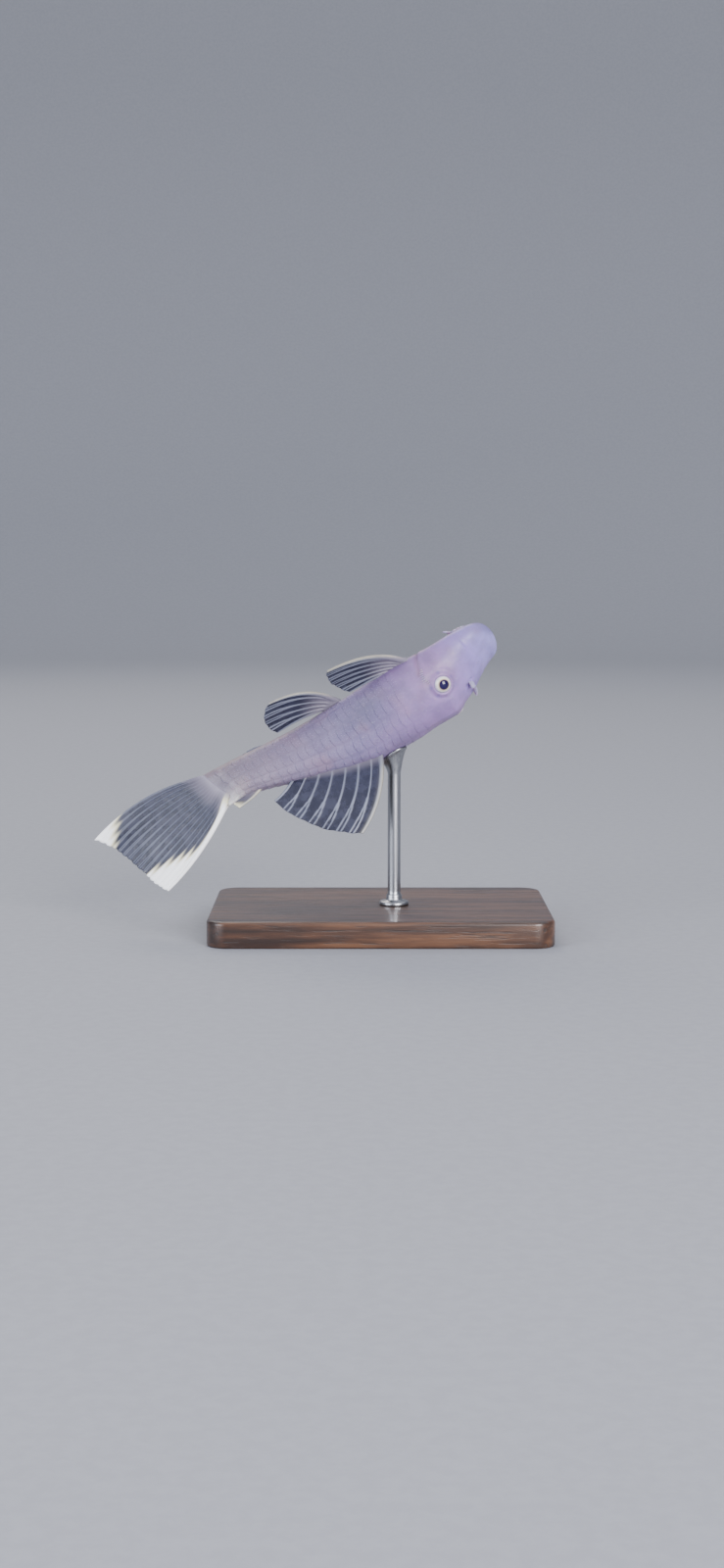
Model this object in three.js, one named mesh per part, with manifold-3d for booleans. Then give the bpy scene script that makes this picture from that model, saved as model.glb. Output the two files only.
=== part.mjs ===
// Bristlenose pleco, Ancistrus: a life-size still model, belly up, on a plain display stand.
// Units are millimetres, +Z is up, +X is the side that the nose points to.
// The origin is the centre of the stand base's underside.
// The fish is made in its own frame and then posed: "at" is the distance behind the snout tip,
// +Y is the fish's left and +Z is towards its back, with 0 at the level of the flat belly.
import * as THREE from "three";
import { mergeVertices } from "three/addons/utils/BufferGeometryUtils.js";
import Module from "manifold-3d";

const wasm = await Module();
wasm.setup();

const GAP = 0.3;
const degrees = THREE.MathUtils.degToRad;

// Pose of the fish over the stand
const NOSE_UP = degrees(30);
const ROLL = degrees(150);
const SNOUT_TIP = new THREE.Vector3(25.2, 3.6, 70.4);

// Body sizes at stations behind the snout tip: half width, level of the back, level of the belly,
// share of the depth at which the body is widest, and how square the section is above and below.
const STATIONS = [
  { at: 0.0, half: 7.6, back: 5.6, belly: -0.5, widest: 0.45, above: 2.0, below: 2.3 },
  { at: 3.0, half: 7.9, back: 6.1, belly: -0.6, widest: 0.42, above: 1.95, below: 2.6 },
  { at: 6.5, half: 8.8, back: 8.1, belly: -0.4, widest: 0.36, above: 1.9, below: 2.9 },
  { at: 10.0, half: 9.7, back: 10.9, belly: -0.1, widest: 0.3, above: 1.9, below: 3.1 },
  { at: 13.5, half: 10.1, back: 12.9, belly: 0.2, widest: 0.27, above: 1.9, below: 3.2 },
  { at: 16.5, half: 10.4, back: 14.6, belly: 0.2, widest: 0.27, above: 1.9, below: 3.2 },
  { at: 21.0, half: 10.7, back: 14.5, belly: 0.1, widest: 0.28, above: 1.95, below: 3.2 },
  { at: 27.0, half: 10.5, back: 15.0, belly: 0.0, widest: 0.28, above: 1.95, below: 3.1 },
  { at: 36.0, half: 9.0, back: 15.1, belly: 0.0, widest: 0.3, above: 2.0, below: 2.9 },
  { at: 42.0, half: 7.9, back: 14.3, belly: -0.1, widest: 0.33, above: 2.05, below: 2.7 },
  { at: 48.0, half: 6.7, back: 12.8, belly: -0.2, widest: 0.37, above: 2.1, below: 2.5 },
  { at: 55.0, half: 5.1, back: 11.2, belly: -0.3, widest: 0.42, above: 2.15, below: 2.35 },
  { at: 62.0, half: 3.9, back: 9.6, belly: -0.4, widest: 0.46, above: 2.2, below: 2.3 },
  { at: 68.0, half: 3.0, back: 8.8, belly: -0.5, widest: 0.48, above: 2.25, below: 2.3 },
  { at: 72.0, half: 2.3, back: 9.0, belly: -0.8, widest: 0.5, above: 2.3, below: 2.3 },
  { at: 74.0, half: 1.6, back: 9.1, belly: -1.0, widest: 0.5, above: 2.3, below: 2.3 },
];
const NOSE_ROUND = 2.2;
const NOSE_WIDE_ROUND = 4.6;
const TAIL_END = 73.2;

// Distances behind the snout tip of the rings that carry the smooth skin of the head
const HEAD_RINGS = [0.12, 0.5, 1.1, 2, 3.4, 5.2, 7.4, 9.8, 12.2, 14.4, 16.6, 18.8, 21.2];

// Sideways curve of the tail, as in swimming: the stalk swings left and the fin trails back
const SWAY = [
  { at: 0, left: 0 },
  { at: 30, left: 0 },
  { at: 45, left: 0.9 },
  { at: 58, left: 3.2 },
  { at: 68, left: 5.0 },
  { at: 75, left: 5.4 },
  { at: 84, left: 4.6 },
  { at: 94, left: 2.2 },
  { at: 104, left: -0.8 },
];

// The bone plate behind the tail fin leans: its lower end reaches further back
const TAIL_LEAN = 0.42;
const TAIL_LEAN_FROM = 62;

// Cuts between head, trunk and tail, with how far each moves back for every millimetre of height
const HEAD_CUT = { at: 19.6, lean: 0.25 };
const TAIL_CUT = { at: 58.6, lean: 0 };

// Scutes: rows on each side from the back's midline down to the belly's edge. Each plate rises
// from a share of its height at the front edge to a step at the hind edge, which is drawn out
// into a point in the middle of the row.
const SCUTE_ROWS = 5;
const SCUTES = 24;
const SCUTES_FROM = 24;
const SCUTE_LIFT = 0.34;
const SCUTE_FRONT_SHARE = 0.35;
const SCUTE_STEP = 0.16;
const SCUTE_POINT = 0.45;
const BELLY_EDGE = degrees(-38);
const BELLY_COLUMNS = 4;

// Eyes
const EYE = { at: 15.9, turn: degrees(41), radius: 2.3, sunk: 1.25 };
const RIM = { radius: 2.55, tube: 0.5 };

// Mouth: a round sucker of lips under the snout, with its profile from the middle outwards as
// shares of the lips' half size and of how proud they stand
const LIPS = { at: 7.3, halfLength: 4.7, halfWidth: 5.5, proud: 1.35 };
const LIP_PROFILE = [
  { out: 0, proud: -1.5 },
  { out: 0.9, proud: -1.5 },
  { out: 1.0, proud: 0.55 },
  { out: 0.94, proud: 0.95 },
  { out: 0.85, proud: 0.9 },
  { out: 0.62, proud: 0.62 },
  { out: 0.52, proud: 0.8 },
  { out: 0, proud: 0.75 },
];
const MOUTH = { at: 6.4, halfLength: 1.4, halfWidth: 2.9, depth: 2.3 };
const BARBEL = { at: 8.2, left: 5.2, length: 2.3, radius: 0.5 };

// Nostrils
const NOSTRIL = {
  at: 10.3,
  left: 1.9,
  flapHeight: 2.3,
  flapWidth: 1.8,
  flapLean: 0.45,
  flapTwist: 0.6,
  pit: 0.55,
};

// Gill slit, as points on the surface, each with its turn from the flank's widest line
const GILL_SLIT = [
  { at: 19.5, turn: degrees(16) },
  { at: 18.6, turn: degrees(0) },
  { at: 17.8, turn: degrees(-28) },
  { at: 17.3, turn: degrees(-58) },
];
const GILL_WIDTH = 0.32;

// Cheek bristles: short hooked spines at the gill cover
const CHEEK = { at: 18.2, turn: degrees(24), bristles: 5, spread: degrees(25), length: 2.0, radius: 0.3 };

// How far a barbel or a bristle sits in the skin, and how much thinner it gets towards its tip
const SUNK = 0.5;
const TAPER = 0.75;

// Display stand
const BASE = { length: 78, width: 52, height: 6, corner: 5, edge: 0.8 };
const ROD = { at: 28.5, left: 1.2, back: 7, radius: 1.5, foot: 3.4, cup: 2.9, cupHeight: 3.2 };

// Smooth curve through values at stations that never overshoots them (monotone cubic)
function steady(stations, key) {
  const x = stations.map((station) => station.at);
  const y = stations.map((station) => station[key]);
  const last = x.length - 1;
  const rise = x.slice(1).map((_, i) => (y[i + 1] - y[i]) / (x[i + 1] - x[i]));
  const slope = x.map((_, i) => {
    if (i === 0) return rise[0];
    if (i === last) return rise[last - 1];
    if (rise[i - 1] * rise[i] <= 0) return 0;
    const before = x[i] - x[i - 1];
    const after = x[i + 1] - x[i];
    const a = 2 * after + before;
    const b = after + 2 * before;
    return (a + b) / (a / rise[i - 1] + b / rise[i]);
  });
  return (at) => {
    if (at <= x[0]) return y[0];
    if (at >= x[last]) return y[last];
    const i = x.findIndex((end, k) => k > 0 && at <= end) - 1;
    const span = x[i + 1] - x[i];
    const t = (at - x[i]) / span;
    const keep = (1 + 2 * t) * (1 - t) * (1 - t);
    const reach = t * t * (3 - 2 * t);
    const leave = t * (1 - t) * (1 - t) * span;
    const arrive = t * t * (t - 1) * span;
    return keep * y[i] + reach * y[i + 1] + leave * slope[i] + arrive * slope[i + 1];
  };
}

const half = steady(STATIONS, "half");
const back = steady(STATIONS, "back");
const belly = steady(STATIONS, "belly");
const widest = steady(STATIONS, "widest");
const above = steady(STATIONS, "above");
const below = steady(STATIONS, "below");
const sway = steady(SWAY, "left");

const power = (value, exponent) => Math.sign(value) * Math.abs(value) ** exponent;
const smooth = (from, to, value) => THREE.MathUtils.smoothstep(value, from, to);

// A point of the fish frame from its distance behind the snout tip, with the tail's curve put in
const place = (at, left, up) => new THREE.Vector3(-at, left + sway(at), up);

// Share of its full size that the snout has, rounded like the end of an egg over a length
const rounded = (at, length) => Math.sqrt(1 - (1 - THREE.MathUtils.clamp(at / length, 0, 1)) ** 2);

// Size and middle of the cross-section: the snout is rounded more gently from side to side
function section(at, grow) {
  const nose = rounded(at, NOSE_ROUND);
  const low = belly(at);
  const deep = back(at) - low;
  const level = low + widest(at) * deep;
  return {
    level,
    half: half(at) * rounded(at, NOSE_WIDE_ROUND) + grow,
    rise: (back(at) - level) * nose + grow,
    drop: (level - low) * nose + grow,
  };
}

// The turn of each column of the skin: scute rows by their edges and middles, then the belly
function columnTurns() {
  const side = [];
  for (let i = 0; i <= 2 * SCUTE_ROWS; i++) {
    const share = i / (2 * SCUTE_ROWS);
    side.push({ turn: Math.PI / 2 + (BELLY_EDGE - Math.PI / 2) * share, ridge: i % 2 });
  }
  for (let i = 1; i <= BELLY_COLUMNS; i++) {
    const share = i / BELLY_COLUMNS;
    side.push({ turn: BELLY_EDGE + (-Math.PI / 2 - BELLY_EDGE) * share, ridge: 0 });
  }
  const other = side.slice(1, -1).reverse();
  return [...side, ...other.map((column) => ({ turn: Math.PI - column.turn, ridge: column.ridge }))];
}

// The skin at a distance behind the snout and a turn about the body's middle: 0 is the left flank at
// its widest, a quarter turn is the midline of the back; lift pushes it outwards and grow thickens it
function skin(at, turn, grow = 0, lift = 0) {
  const size = section(at, grow);
  const over = Math.sin(turn) >= 0;
  const bend = 2 / (over ? above(at) : below(at));
  const up = (over ? size.rise + lift : size.drop + lift) * power(Math.sin(turn), bend);
  const left = (size.half + lift) * power(Math.cos(turn), bend);
  const lean = TAIL_LEAN * smooth(TAIL_LEAN_FROM, TAIL_END, at);
  const middle = (back(at) + belly(at)) / 2;
  return place(at - lean * (size.level + up - middle), left, size.level + up);
}

// Direction straight out of the skin
function outward(at, turn) {
  const step = 0.05;
  const along = skin(at + step, turn).sub(skin(at - step, turn));
  const around = skin(at, turn + step).sub(skin(at, turn - step));
  return along.cross(around).normalize();
}

// Geometry from vertices and triangles
function meshOf(vertices, triangles) {
  const geometry = new THREE.BufferGeometry();
  const numbers = vertices.flatMap((vertex) => vertex.toArray());
  geometry.setAttribute("position", new THREE.Float32BufferAttribute(numbers, 3));
  geometry.setIndex(triangles);
  return geometry;
}

// Closed skin over rings of points that run from one end point to the other
function loft(start, rings, end) {
  const count = rings[0].length;
  const vertices = [start, ...rings.flat(), end];
  const triangles = [];
  const last = rings.length - 1;
  const index = (ring, column) => 1 + ring * count + (column % count);
  for (let column = 0; column < count; column++) {
    triangles.push(0, index(0, column + 1), index(0, column));
    triangles.push(vertices.length - 1, index(last, column), index(last, column + 1));
    for (let ring = 0; ring < last; ring++) {
      const a = index(ring, column);
      const b = index(ring, column + 1);
      const c = index(ring + 1, column);
      const d = index(ring + 1, column + 1);
      triangles.push(a, b, c, b, d, c);
    }
  }
  return meshOf(vertices, triangles);
}

// A geometry as a closed solid, and back
function solid(geometry) {
  const bare = geometry.clone();
  bare.deleteAttribute("normal");
  bare.deleteAttribute("uv");
  const merged = mergeVertices(bare, 1e-4);
  const vertProperties = merged.attributes.position.array;
  const triVerts = new Uint32Array(merged.index.array);
  return new wasm.Manifold(new wasm.Mesh({ numProp: 3, vertProperties, triVerts }));
}

function geometryOf(body) {
  const mesh = body.getMesh();
  const geometry = new THREE.BufferGeometry();
  geometry.setAttribute("position", new THREE.BufferAttribute(new Float32Array(mesh.vertProperties), 3));
  geometry.setIndex(new THREE.BufferAttribute(new Uint32Array(mesh.triVerts), 1));
  geometry.computeVertexNormals();
  return geometry;
}

// The largest closed piece, without loose scraps and sealed hollows
function largest(body) {
  return body.decompose().reduce((best, piece) => (piece.volume() > best.volume() ? piece : best));
}

// The whole body as one closed skin, grown outwards by a distance
function bodySkin(grow = 0) {
  const columns = columnTurns();
  const rings = [];
  const ring = (at, lifted) => {
    rings.push(
      columns.map(({ turn, ridge }) => {
        const on = smooth(SCUTES_FROM - 1, SCUTES_FROM, at);
        const lift = on * ridge * SCUTE_LIFT * (lifted ? 1 : SCUTE_FRONT_SHARE);
        return skin(at + on * ridge * SCUTE_POINT, turn, grow, lift);
      }),
    );
  };
  for (const at of HEAD_RINGS) ring(at, false);
  const pitch = (TAIL_END - 1 - SCUTES_FROM) / SCUTES;
  for (let scute = 0; scute < SCUTES; scute++) {
    ring(SCUTES_FROM + scute * pitch, false);
    ring(SCUTES_FROM + (scute + 1) * pitch - SCUTE_STEP, true);
  }
  ring(TAIL_END + grow, false);
  const snout = skin(0, 0).setY(0).setX(grow);
  const stalk = section(TAIL_END, 0).level;
  return loft(snout, rings, place(TAIL_END + grow + 0.02, 0, stalk));
}

// A block that spans the body between two cuts
function slab(front, rear) {
  const reach = 60;
  const box = new THREE.BoxGeometry(1, 1, 1);
  const corners = box.attributes.position;
  for (let i = 0; i < corners.count; i++) {
    const cut = corners.getX(i) > 0 ? front : rear;
    const up = corners.getZ(i) * reach;
    corners.setXYZ(i, -(cut.at + cut.lean * up), corners.getY(i) * reach, up);
  }
  return solid(box);
}

const cutBefore = (cut) => ({ at: cut.at - GAP / 2, lean: cut.lean });
const cutAfter = (cut) => ({ at: cut.at + GAP / 2, lean: cut.lean });

// A tapered spine with a bent middle line, its root sunk in what it grows from
function spine(root, bend, tip, radius, sides = 4, steps = 3) {
  const line = new THREE.QuadraticBezierCurve3(root, bend, tip);
  const frames = line.computeFrenetFrames(steps, false);
  const rings = [];
  for (let step = 0; step < steps; step++) {
    const share = step / steps;
    const middle = line.getPointAt(share);
    const thick = radius * (1 - TAPER * share);
    rings.push(
      Array.from({ length: sides }, (_, side) => {
        const turn = (side / sides) * 2 * Math.PI;
        return middle
          .clone()
          .addScaledVector(frames.normals[step], Math.cos(turn) * thick)
          .addScaledVector(frames.binormals[step], -Math.sin(turn) * thick);
      }),
    );
  }
  return solid(loft(root, rings, tip));
}

// Eyes: a ball in a socket, with a raised rim of skin round it
function eyeCentre(side) {
  const point = skin(EYE.at, EYE.turn).addScaledVector(outward(EYE.at, EYE.turn), -EYE.sunk);
  return point.setY(point.y * side);
}

function eyeBall(side, radius) {
  const centre = eyeCentre(side);
  return new THREE.SphereGeometry(radius, 16, 10).translate(centre.x, centre.y, centre.z);
}

function eyeRim(side) {
  const out = outward(EYE.at, EYE.turn);
  out.setY(out.y * side);
  const turn = new THREE.Quaternion().setFromUnitVectors(new THREE.Vector3(0, 0, 1), out);
  const point = skin(EYE.at, EYE.turn);
  const ring = new THREE.TorusGeometry(RIM.radius, RIM.tube, 5, 16).applyQuaternion(turn);
  return solid(ring.translate(point.x, point.y * side, point.z));
}

// Lips: a shallow oval disc turned from one profile, with the mouth sunk in it
function lips() {
  const profile = LIP_PROFILE.map(({ out, proud }) => new THREE.Vector2(out, proud));
  const disc = new THREE.LatheGeometry(profile, 24);
  disc.scale(LIPS.halfLength, LIPS.proud, LIPS.halfWidth);
  return solid(disc.rotateX(-Math.PI / 2).translate(-LIPS.at, 0, 0));
}

function mouthHollow() {
  const hollow = new THREE.SphereGeometry(1, 14, 8);
  hollow.scale(MOUTH.halfLength, MOUTH.halfWidth, MOUTH.depth);
  return solid(hollow.translate(-MOUTH.at, 0, -LIPS.proud));
}

// Barbel: short and soft, at the corner of the mouth
function barbel(side) {
  const root = place(BARBEL.at, side * (BARBEL.left - 0.8), -0.6);
  const bend = place(BARBEL.at + 0.6, side * (BARBEL.left + 0.6), -1.2);
  const tip = place(BARBEL.at + BARBEL.length * 0.8, side * (BARBEL.left + 1.2), -1.5);
  return spine(root, bend, tip, BARBEL.radius);
}

// The turn at which the skin is a given distance left of the midline, found above the widest line
function turnAtLeft(at, left) {
  const share = Math.min(left / section(at, 0).half, 1);
  return Math.acos(share ** (above(at) / 2));
}

// Nostril: a small flap that stands up between two pits
function nostrilFlap(side) {
  const turn = turnAtLeft(NOSTRIL.at, NOSTRIL.left);
  const foot = skin(NOSTRIL.at, turn);
  const out = outward(NOSTRIL.at, turn);
  foot.setY(foot.y * side);
  out.setY(out.y * side);
  const across = new THREE.Vector3(-NOSTRIL.flapTwist * side, 1, 0).normalize();
  const leaned = out.clone().setX(out.x - NOSTRIL.flapLean);
  const root = foot.clone().addScaledVector(out, -SUNK);
  const top = foot.clone().addScaledVector(leaned, NOSTRIL.flapHeight);
  const edge = (middle, width) => (share) =>
    middle.clone().addScaledVector(across, (share - 0.5) * width);
  const lower = edge(root, NOSTRIL.flapWidth);
  const upper = edge(top, NOSTRIL.flapWidth * 0.5);
  const surface = (u, v) => lower(u).lerp(upper(u), v);
  return solid(sheet(surface, [0, 0.5, 1], [0, 0.6, 1], (u, v) => 0.3 - 0.12 * v));
}

function nostrilPit(side, shift) {
  const at = NOSTRIL.at + shift;
  const foot = skin(at, turnAtLeft(at, NOSTRIL.left));
  return solid(new THREE.SphereGeometry(NOSTRIL.pit, 8, 5).translate(foot.x, foot.y * side, foot.z));
}

// Gill slit: a groove swept along the lower edge of the gill cover
function gillSlit(side) {
  const points = GILL_SLIT.map(({ at, turn }) => {
    const point = skin(at, turn);
    return point.setY(point.y * side);
  });
  const outline = new THREE.Shape().absarc(0, 0, GILL_WIDTH, 0, 2 * Math.PI);
  const extrudePath = new THREE.CatmullRomCurve3(points);
  return solid(new THREE.ExtrudeGeometry(outline, { extrudePath, steps: 8, curveSegments: 2 }));
}

// Cheek bristles lie back from the gill cover, the middle ones longest
function cheekBristles(side) {
  return Array.from({ length: CHEEK.bristles }, (_, i) => {
    const share = i / (CHEEK.bristles - 1) - 0.5;
    const turn = CHEEK.turn + share * CHEEK.spread;
    const at = CHEEK.at + 0.5 * Math.cos(share * Math.PI);
    const length = CHEEK.length * (1 - 0.5 * share * share * 4);
    const out = outward(at, turn);
    const foot = skin(at, turn);
    const root = foot.clone().addScaledVector(out, -SUNK);
    const bend = foot.clone().addScaledVector(out, 0.45 * length);
    const tip = foot.clone().addScaledVector(out, 0.5 * length);
    tip.setX(tip.x - 0.8 * length);
    for (const point of [root, bend, tip]) point.setY(point.y * side);
    return spine(root, bend, tip, CHEEK.radius);
  });
}

// A thin closed sheet: a surface of two parameters, thickened to both sides of itself, with the
// same triangles on both faces; "end" gives how far along v each column reaches
function sheet(surface, columns, rows, halfThickness, end = () => 1) {
  const step = 1e-3;
  const vertices = [1, -1].flatMap((face) =>
    rows.flatMap((row) =>
      columns.map((u) => {
        const v = row * end(u);
        const along = surface(u, v + step).sub(surface(u, v - step));
        const across = surface(u + step, v).sub(surface(u - step, v));
        const out = across.cross(along).normalize();
        return surface(u, v).addScaledVector(out, face * halfThickness(u, v));
      }),
    ),
  );
  const wide = columns.length;
  const high = rows.length;
  const other = wide * high;
  const index = (row, column) => row * wide + column;
  const triangles = [];
  const wall = (first, second) => {
    triangles.push(first, second, second + other, first, second + other, first + other);
  };
  for (let row = 0; row < high - 1; row++) {
    for (let column = 0; column < wide - 1; column++) {
      const a = index(row, column);
      const b = index(row, column + 1);
      const c = index(row + 1, column + 1);
      const d = index(row + 1, column);
      triangles.push(a, b, c, a, c, d);
      triangles.push(a + other, c + other, b + other, a + other, d + other, c + other);
    }
    wall(index(row, 0), index(row + 1, 0));
    wall(index(row + 1, wide - 1), index(row, wide - 1));
  }
  for (let column = 0; column < wide - 1; column++) {
    wall(index(0, column + 1), index(0, column));
    wall(index(high - 1, column), index(high - 1, column + 1));
  }
  return meshOf(vertices, triangles);
}

// Half thickness of a fin's membrane, how far the margin is notched between rays, and the share
// of the space between two rays that a ray's ridge takes up on each side
const MEMBRANE = 0.26;
const MEMBRANE_TIP = 0.16;
const NOTCH = 0.022;
const RAY_SHARE = 0.2;

// Fins. Each has a root line and a margin line of points (at, left, up), between which its rays
// run, bowed at their middles by (forward, left, up) for the leading ray and for the last one.
// Half thicknesses: the leading spine, the other rays, and the fleshy root.
const FINS = {
  dorsal_fin: {
    rays: 8,
    rows: 8,
    root: [[35.2, 0, 13.4], [45.5, 0, 12.6], [56.2, 0, 9.6]],
    margin: [[48.4, 0, 30.2], [53.6, 0, 27.6], [60.4, 0, 21.6], [62.6, 0, 13.2]],
    bow: [[3.0, 0, 3.0], [0.2, 0, 0.9]],
    spineHalf: 0.8,
    rayHalf: 0.46,
    rootHalf: 0.7,
  },
  adipose_fin: {
    rays: 2,
    rows: 4,
    root: [[62.6, 0, 8.3], [66, 0, 7.7], [70.6, 0, 7.5]],
    margin: [[70.4, 0, 11.0], [70.8, 0, 10.2], [71.1, 0, 9.4]],
    bow: [[1.6, 0, 0.9], [0, 0, 0]],
    spineHalf: 0.6,
    rayHalf: 0.3,
    rootHalf: 0.5,
  },
  anal_fin: {
    rays: 5,
    rows: 5,
    root: [[53.4, 0, 0.8], [55.4, 0, 0.8], [57.6, 0, 0.7]],
    margin: [[61.4, -1.4, -1.9], [63.2, -1.4, -1.9], [64.6, -1.1, -1.3]],
    bow: [[0.2, -0.2, -0.6], [0, 0, -0.2]],
    spineHalf: 0.5,
    rayHalf: 0.4,
    rootHalf: 0.5,
  },
  caudal_fin: {
    rays: 16,
    rows: 9,
    root: [[70.6, 0, 7.4], [72.2, 0, 4.2], [73.9, 0, -0.4]],
    margin: [[94.2, 0, 18.8], [98.2, 0, 13.4], [98.2, 0, 4.5], [105.2, 0, -3.6]],
    bow: [[0, 0, 3.6], [0, 0, -6.0]],
    spineHalf: 0.75,
    rayHalf: 0.45,
    rootHalf: 1.3,
  },
  pectoral_fin: {
    rays: 7,
    rows: 8,
    root: [[19.4, 8.8, 2.2], [21.2, 8.8, 2.1], [23.2, 8.4, 2.1]],
    margin: [[36.9, 21.4, 0.2], [38.7, 18.3, 0.3], [37.8, 13.8, 1.3], [35.0, 10.9, 2.3]],
    bow: [[3.6, 4.6, -1.2], [0, 0.9, 0]],
    spineHalf: 0.9,
    rayHalf: 0.45,
    rootHalf: 0.9,
  },
  pelvic_fin: {
    rays: 6,
    rows: 7,
    root: [[38.0, 6.2, 0.9], [39.6, 5.8, 0.8], [41.6, 5.2, 0.7]],
    margin: [[52.2, 14.8, -2.6], [55.3, 12.6, -2.0], [56.6, 8.8, -0.5], [54.2, 5.7, 0.7]],
    bow: [[3.6, 4.6, -1.4], [0, 0.6, -0.8]],
    spineHalf: 0.75,
    rayHalf: 0.42,
    rootHalf: 0.7,
  },
};

// A curve drawn towards three or four points of the fish frame, on the left side or the right
function finLine(points, side) {
  const placed = points.map(([at, left, up]) => place(at, side * left, up));
  const Curve = placed.length === 3 ? THREE.QuadraticBezierCurve3 : THREE.CubicBezierCurve3;
  return new Curve(...placed);
}

// The fin's middle surface: u runs from the leading ray to the last, v from the root to the margin
function finSurface(fin, side) {
  const roots = finLine(fin.root, side);
  const tips = finLine(fin.margin, side);
  const [leading, trailing] = fin.bow.map(([x, y, z]) => new THREE.Vector3(x, side * y, z));
  return (u, v) => {
    const root = roots.getPoint(u);
    const tip = tips.getPoint(u);
    const middle = root.clone().lerp(tip, 0.5).add(leading.clone().lerp(trailing, u));
    return root
      .multiplyScalar((1 - v) * (1 - v))
      .addScaledVector(middle, 2 * v * (1 - v))
      .addScaledVector(tip, v * v);
  };
}

// A fin: its rays are ridges in the membrane's own surface, lower towards the margin
function finSheet(fin, side = 1) {
  const last = fin.rays - 1;
  const columns = [];
  for (let ray = 0; ray <= last; ray++) {
    if (ray > 0) columns.push((ray - RAY_SHARE) / last);
    columns.push(ray / last);
    if (ray < last) columns.push((ray + RAY_SHARE) / last);
  }
  const onRay = (u) => 1 - Math.min(1, Math.abs(u * last - Math.round(u * last)) / RAY_SHARE);
  const halfThickness = (u, v) => {
    const ray = u * last < 0.5 ? fin.spineHalf : fin.rayHalf;
    const thin = THREE.MathUtils.lerp(MEMBRANE, MEMBRANE_TIP, smooth(0.8, 1, v));
    const ridge = THREE.MathUtils.lerp(ray, MEMBRANE_TIP + 0.06, v ** 1.4);
    const fleshy = fin.rootHalf * (1 - smooth(0, 0.2, v));
    return Math.max(thin + (Math.max(ridge, thin) - thin) * onRay(u), fleshy);
  };
  const rows = Array.from({ length: fin.rows + 1 }, (_, row) => row / fin.rows);
  const end = (u) => 1 - NOTCH * (1 - onRay(u));
  return solid(sheet(finSurface(fin, side), columns, rows, halfThickness, end));
}

// Materials
const finish = (color, roughness, metalness = 0) =>
  new THREE.MeshStandardMaterial({ color, roughness, metalness });
const SKIN = finish(0xb9aac3, 0.5);
const FIN = finish(0xa9a6b8, 0.45);
const IRIS = finish(0x4a3f78, 0.1);
const BASE_WOOD = finish(0x2c2420, 0.45);
const ROD_STEEL = finish(0xb8babd, 0.3, 1);

function node(name, body, material) {
  const mesh = new THREE.Mesh(body.isBufferGeometry ? body : geometryOf(largest(body)), material);
  mesh.name = name;
  return mesh;
}

// The fish
const fish = new THREE.Group();
fish.rotation.set(ROLL, -NOSE_UP, 0, "YXZ");
fish.position.copy(SNOUT_TIP);
fish.updateMatrixWorld(true);

let body = solid(bodySkin());
body = body.add(lips()).subtract(mouthHollow());
for (const side of [1, -1]) {
  body = body.add(eyeRim(side)).subtract(solid(eyeBall(side, EYE.radius + GAP)));
  body = body.add(nostrilFlap(side)).subtract(nostrilPit(side, -0.75)).subtract(nostrilPit(side, 1.0));
  body = body.subtract(gillSlit(side)).add(barbel(side));
  for (const bristle of cheekBristles(side)) body = body.add(bristle);
}
const snoutEnd = { at: -20, lean: 0 };
const farEnd = { at: 120, lean: 0 };
fish.add(node("head", body.intersect(slab(snoutEnd, cutBefore(HEAD_CUT))), SKIN));
fish.add(node("trunk", body.intersect(slab(cutAfter(HEAD_CUT), cutBefore(TAIL_CUT))), SKIN));
fish.add(node("tail", body.intersect(slab(cutAfter(TAIL_CUT), farEnd)), SKIN));
fish.add(node("eye_left", eyeBall(1, EYE.radius), IRIS));
fish.add(node("eye_right", eyeBall(-1, EYE.radius), IRIS));

const clearance = solid(bodySkin(GAP));
for (const name of ["dorsal_fin", "adipose_fin", "anal_fin", "caudal_fin"]) {
  fish.add(node(name, finSheet(FINS[name]).subtract(clearance), FIN));
}
for (const name of ["pectoral_fin", "pelvic_fin"]) {
  fish.add(node(`${name}_left`, finSheet(FINS[name], 1).subtract(clearance), FIN));
  fish.add(node(`${name}_right`, finSheet(FINS[name], -1).subtract(clearance), FIN));
}

// The stand: a flat base with rounded corners, and one rod with a small cup under the nape
function standBase() {
  const x = BASE.length / 2 - BASE.edge;
  const y = BASE.width / 2 - BASE.edge;
  const r = BASE.corner;
  const outline = new THREE.Shape();
  outline.moveTo(-x + r, -y);
  outline.absarc(x - r, -y + r, r, -Math.PI / 2, 0);
  outline.absarc(x - r, y - r, r, 0, Math.PI / 2);
  outline.absarc(-x + r, y - r, r, Math.PI / 2, Math.PI);
  outline.absarc(-x + r, -y + r, r, Math.PI, 1.5 * Math.PI);
  const block = new THREE.ExtrudeGeometry(outline, {
    depth: BASE.height - 2 * BASE.edge,
    bevelThickness: BASE.edge,
    bevelSize: BASE.edge,
    bevelSegments: 2,
    curveSegments: 6,
  });
  return solid(block.translate(0, 0, BASE.edge));
}

function standRod() {
  const top = fish.localToWorld(place(ROD.at, ROD.left, ROD.back));
  const foot = BASE.height + GAP;
  const axis = new THREE.Vector3(0, 0, -1).transformDirection(fish.matrixWorld.clone().invert());
  const length = top.z - foot;
  const underside = length - contactDepth(axis);
  const profile = [
    [0, 0],
    [ROD.foot, 0],
    [ROD.foot, 0.9],
    [ROD.radius + 0.3, 1.9],
    [ROD.radius, 2.8],
    [ROD.radius, underside - ROD.cupHeight],
    [ROD.cup, underside],
    [ROD.cup, length],
    [0, length],
  ].map(([out, up]) => new THREE.Vector2(out, up));
  const rod = new THREE.LatheGeometry(profile, 20).rotateX(Math.PI / 2).translate(top.x, top.y, foot);
  const worldClearance = solid(bodySkin(GAP).applyMatrix4(fish.matrixWorld));
  return solid(rod).subtract(worldClearance);
}

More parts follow.
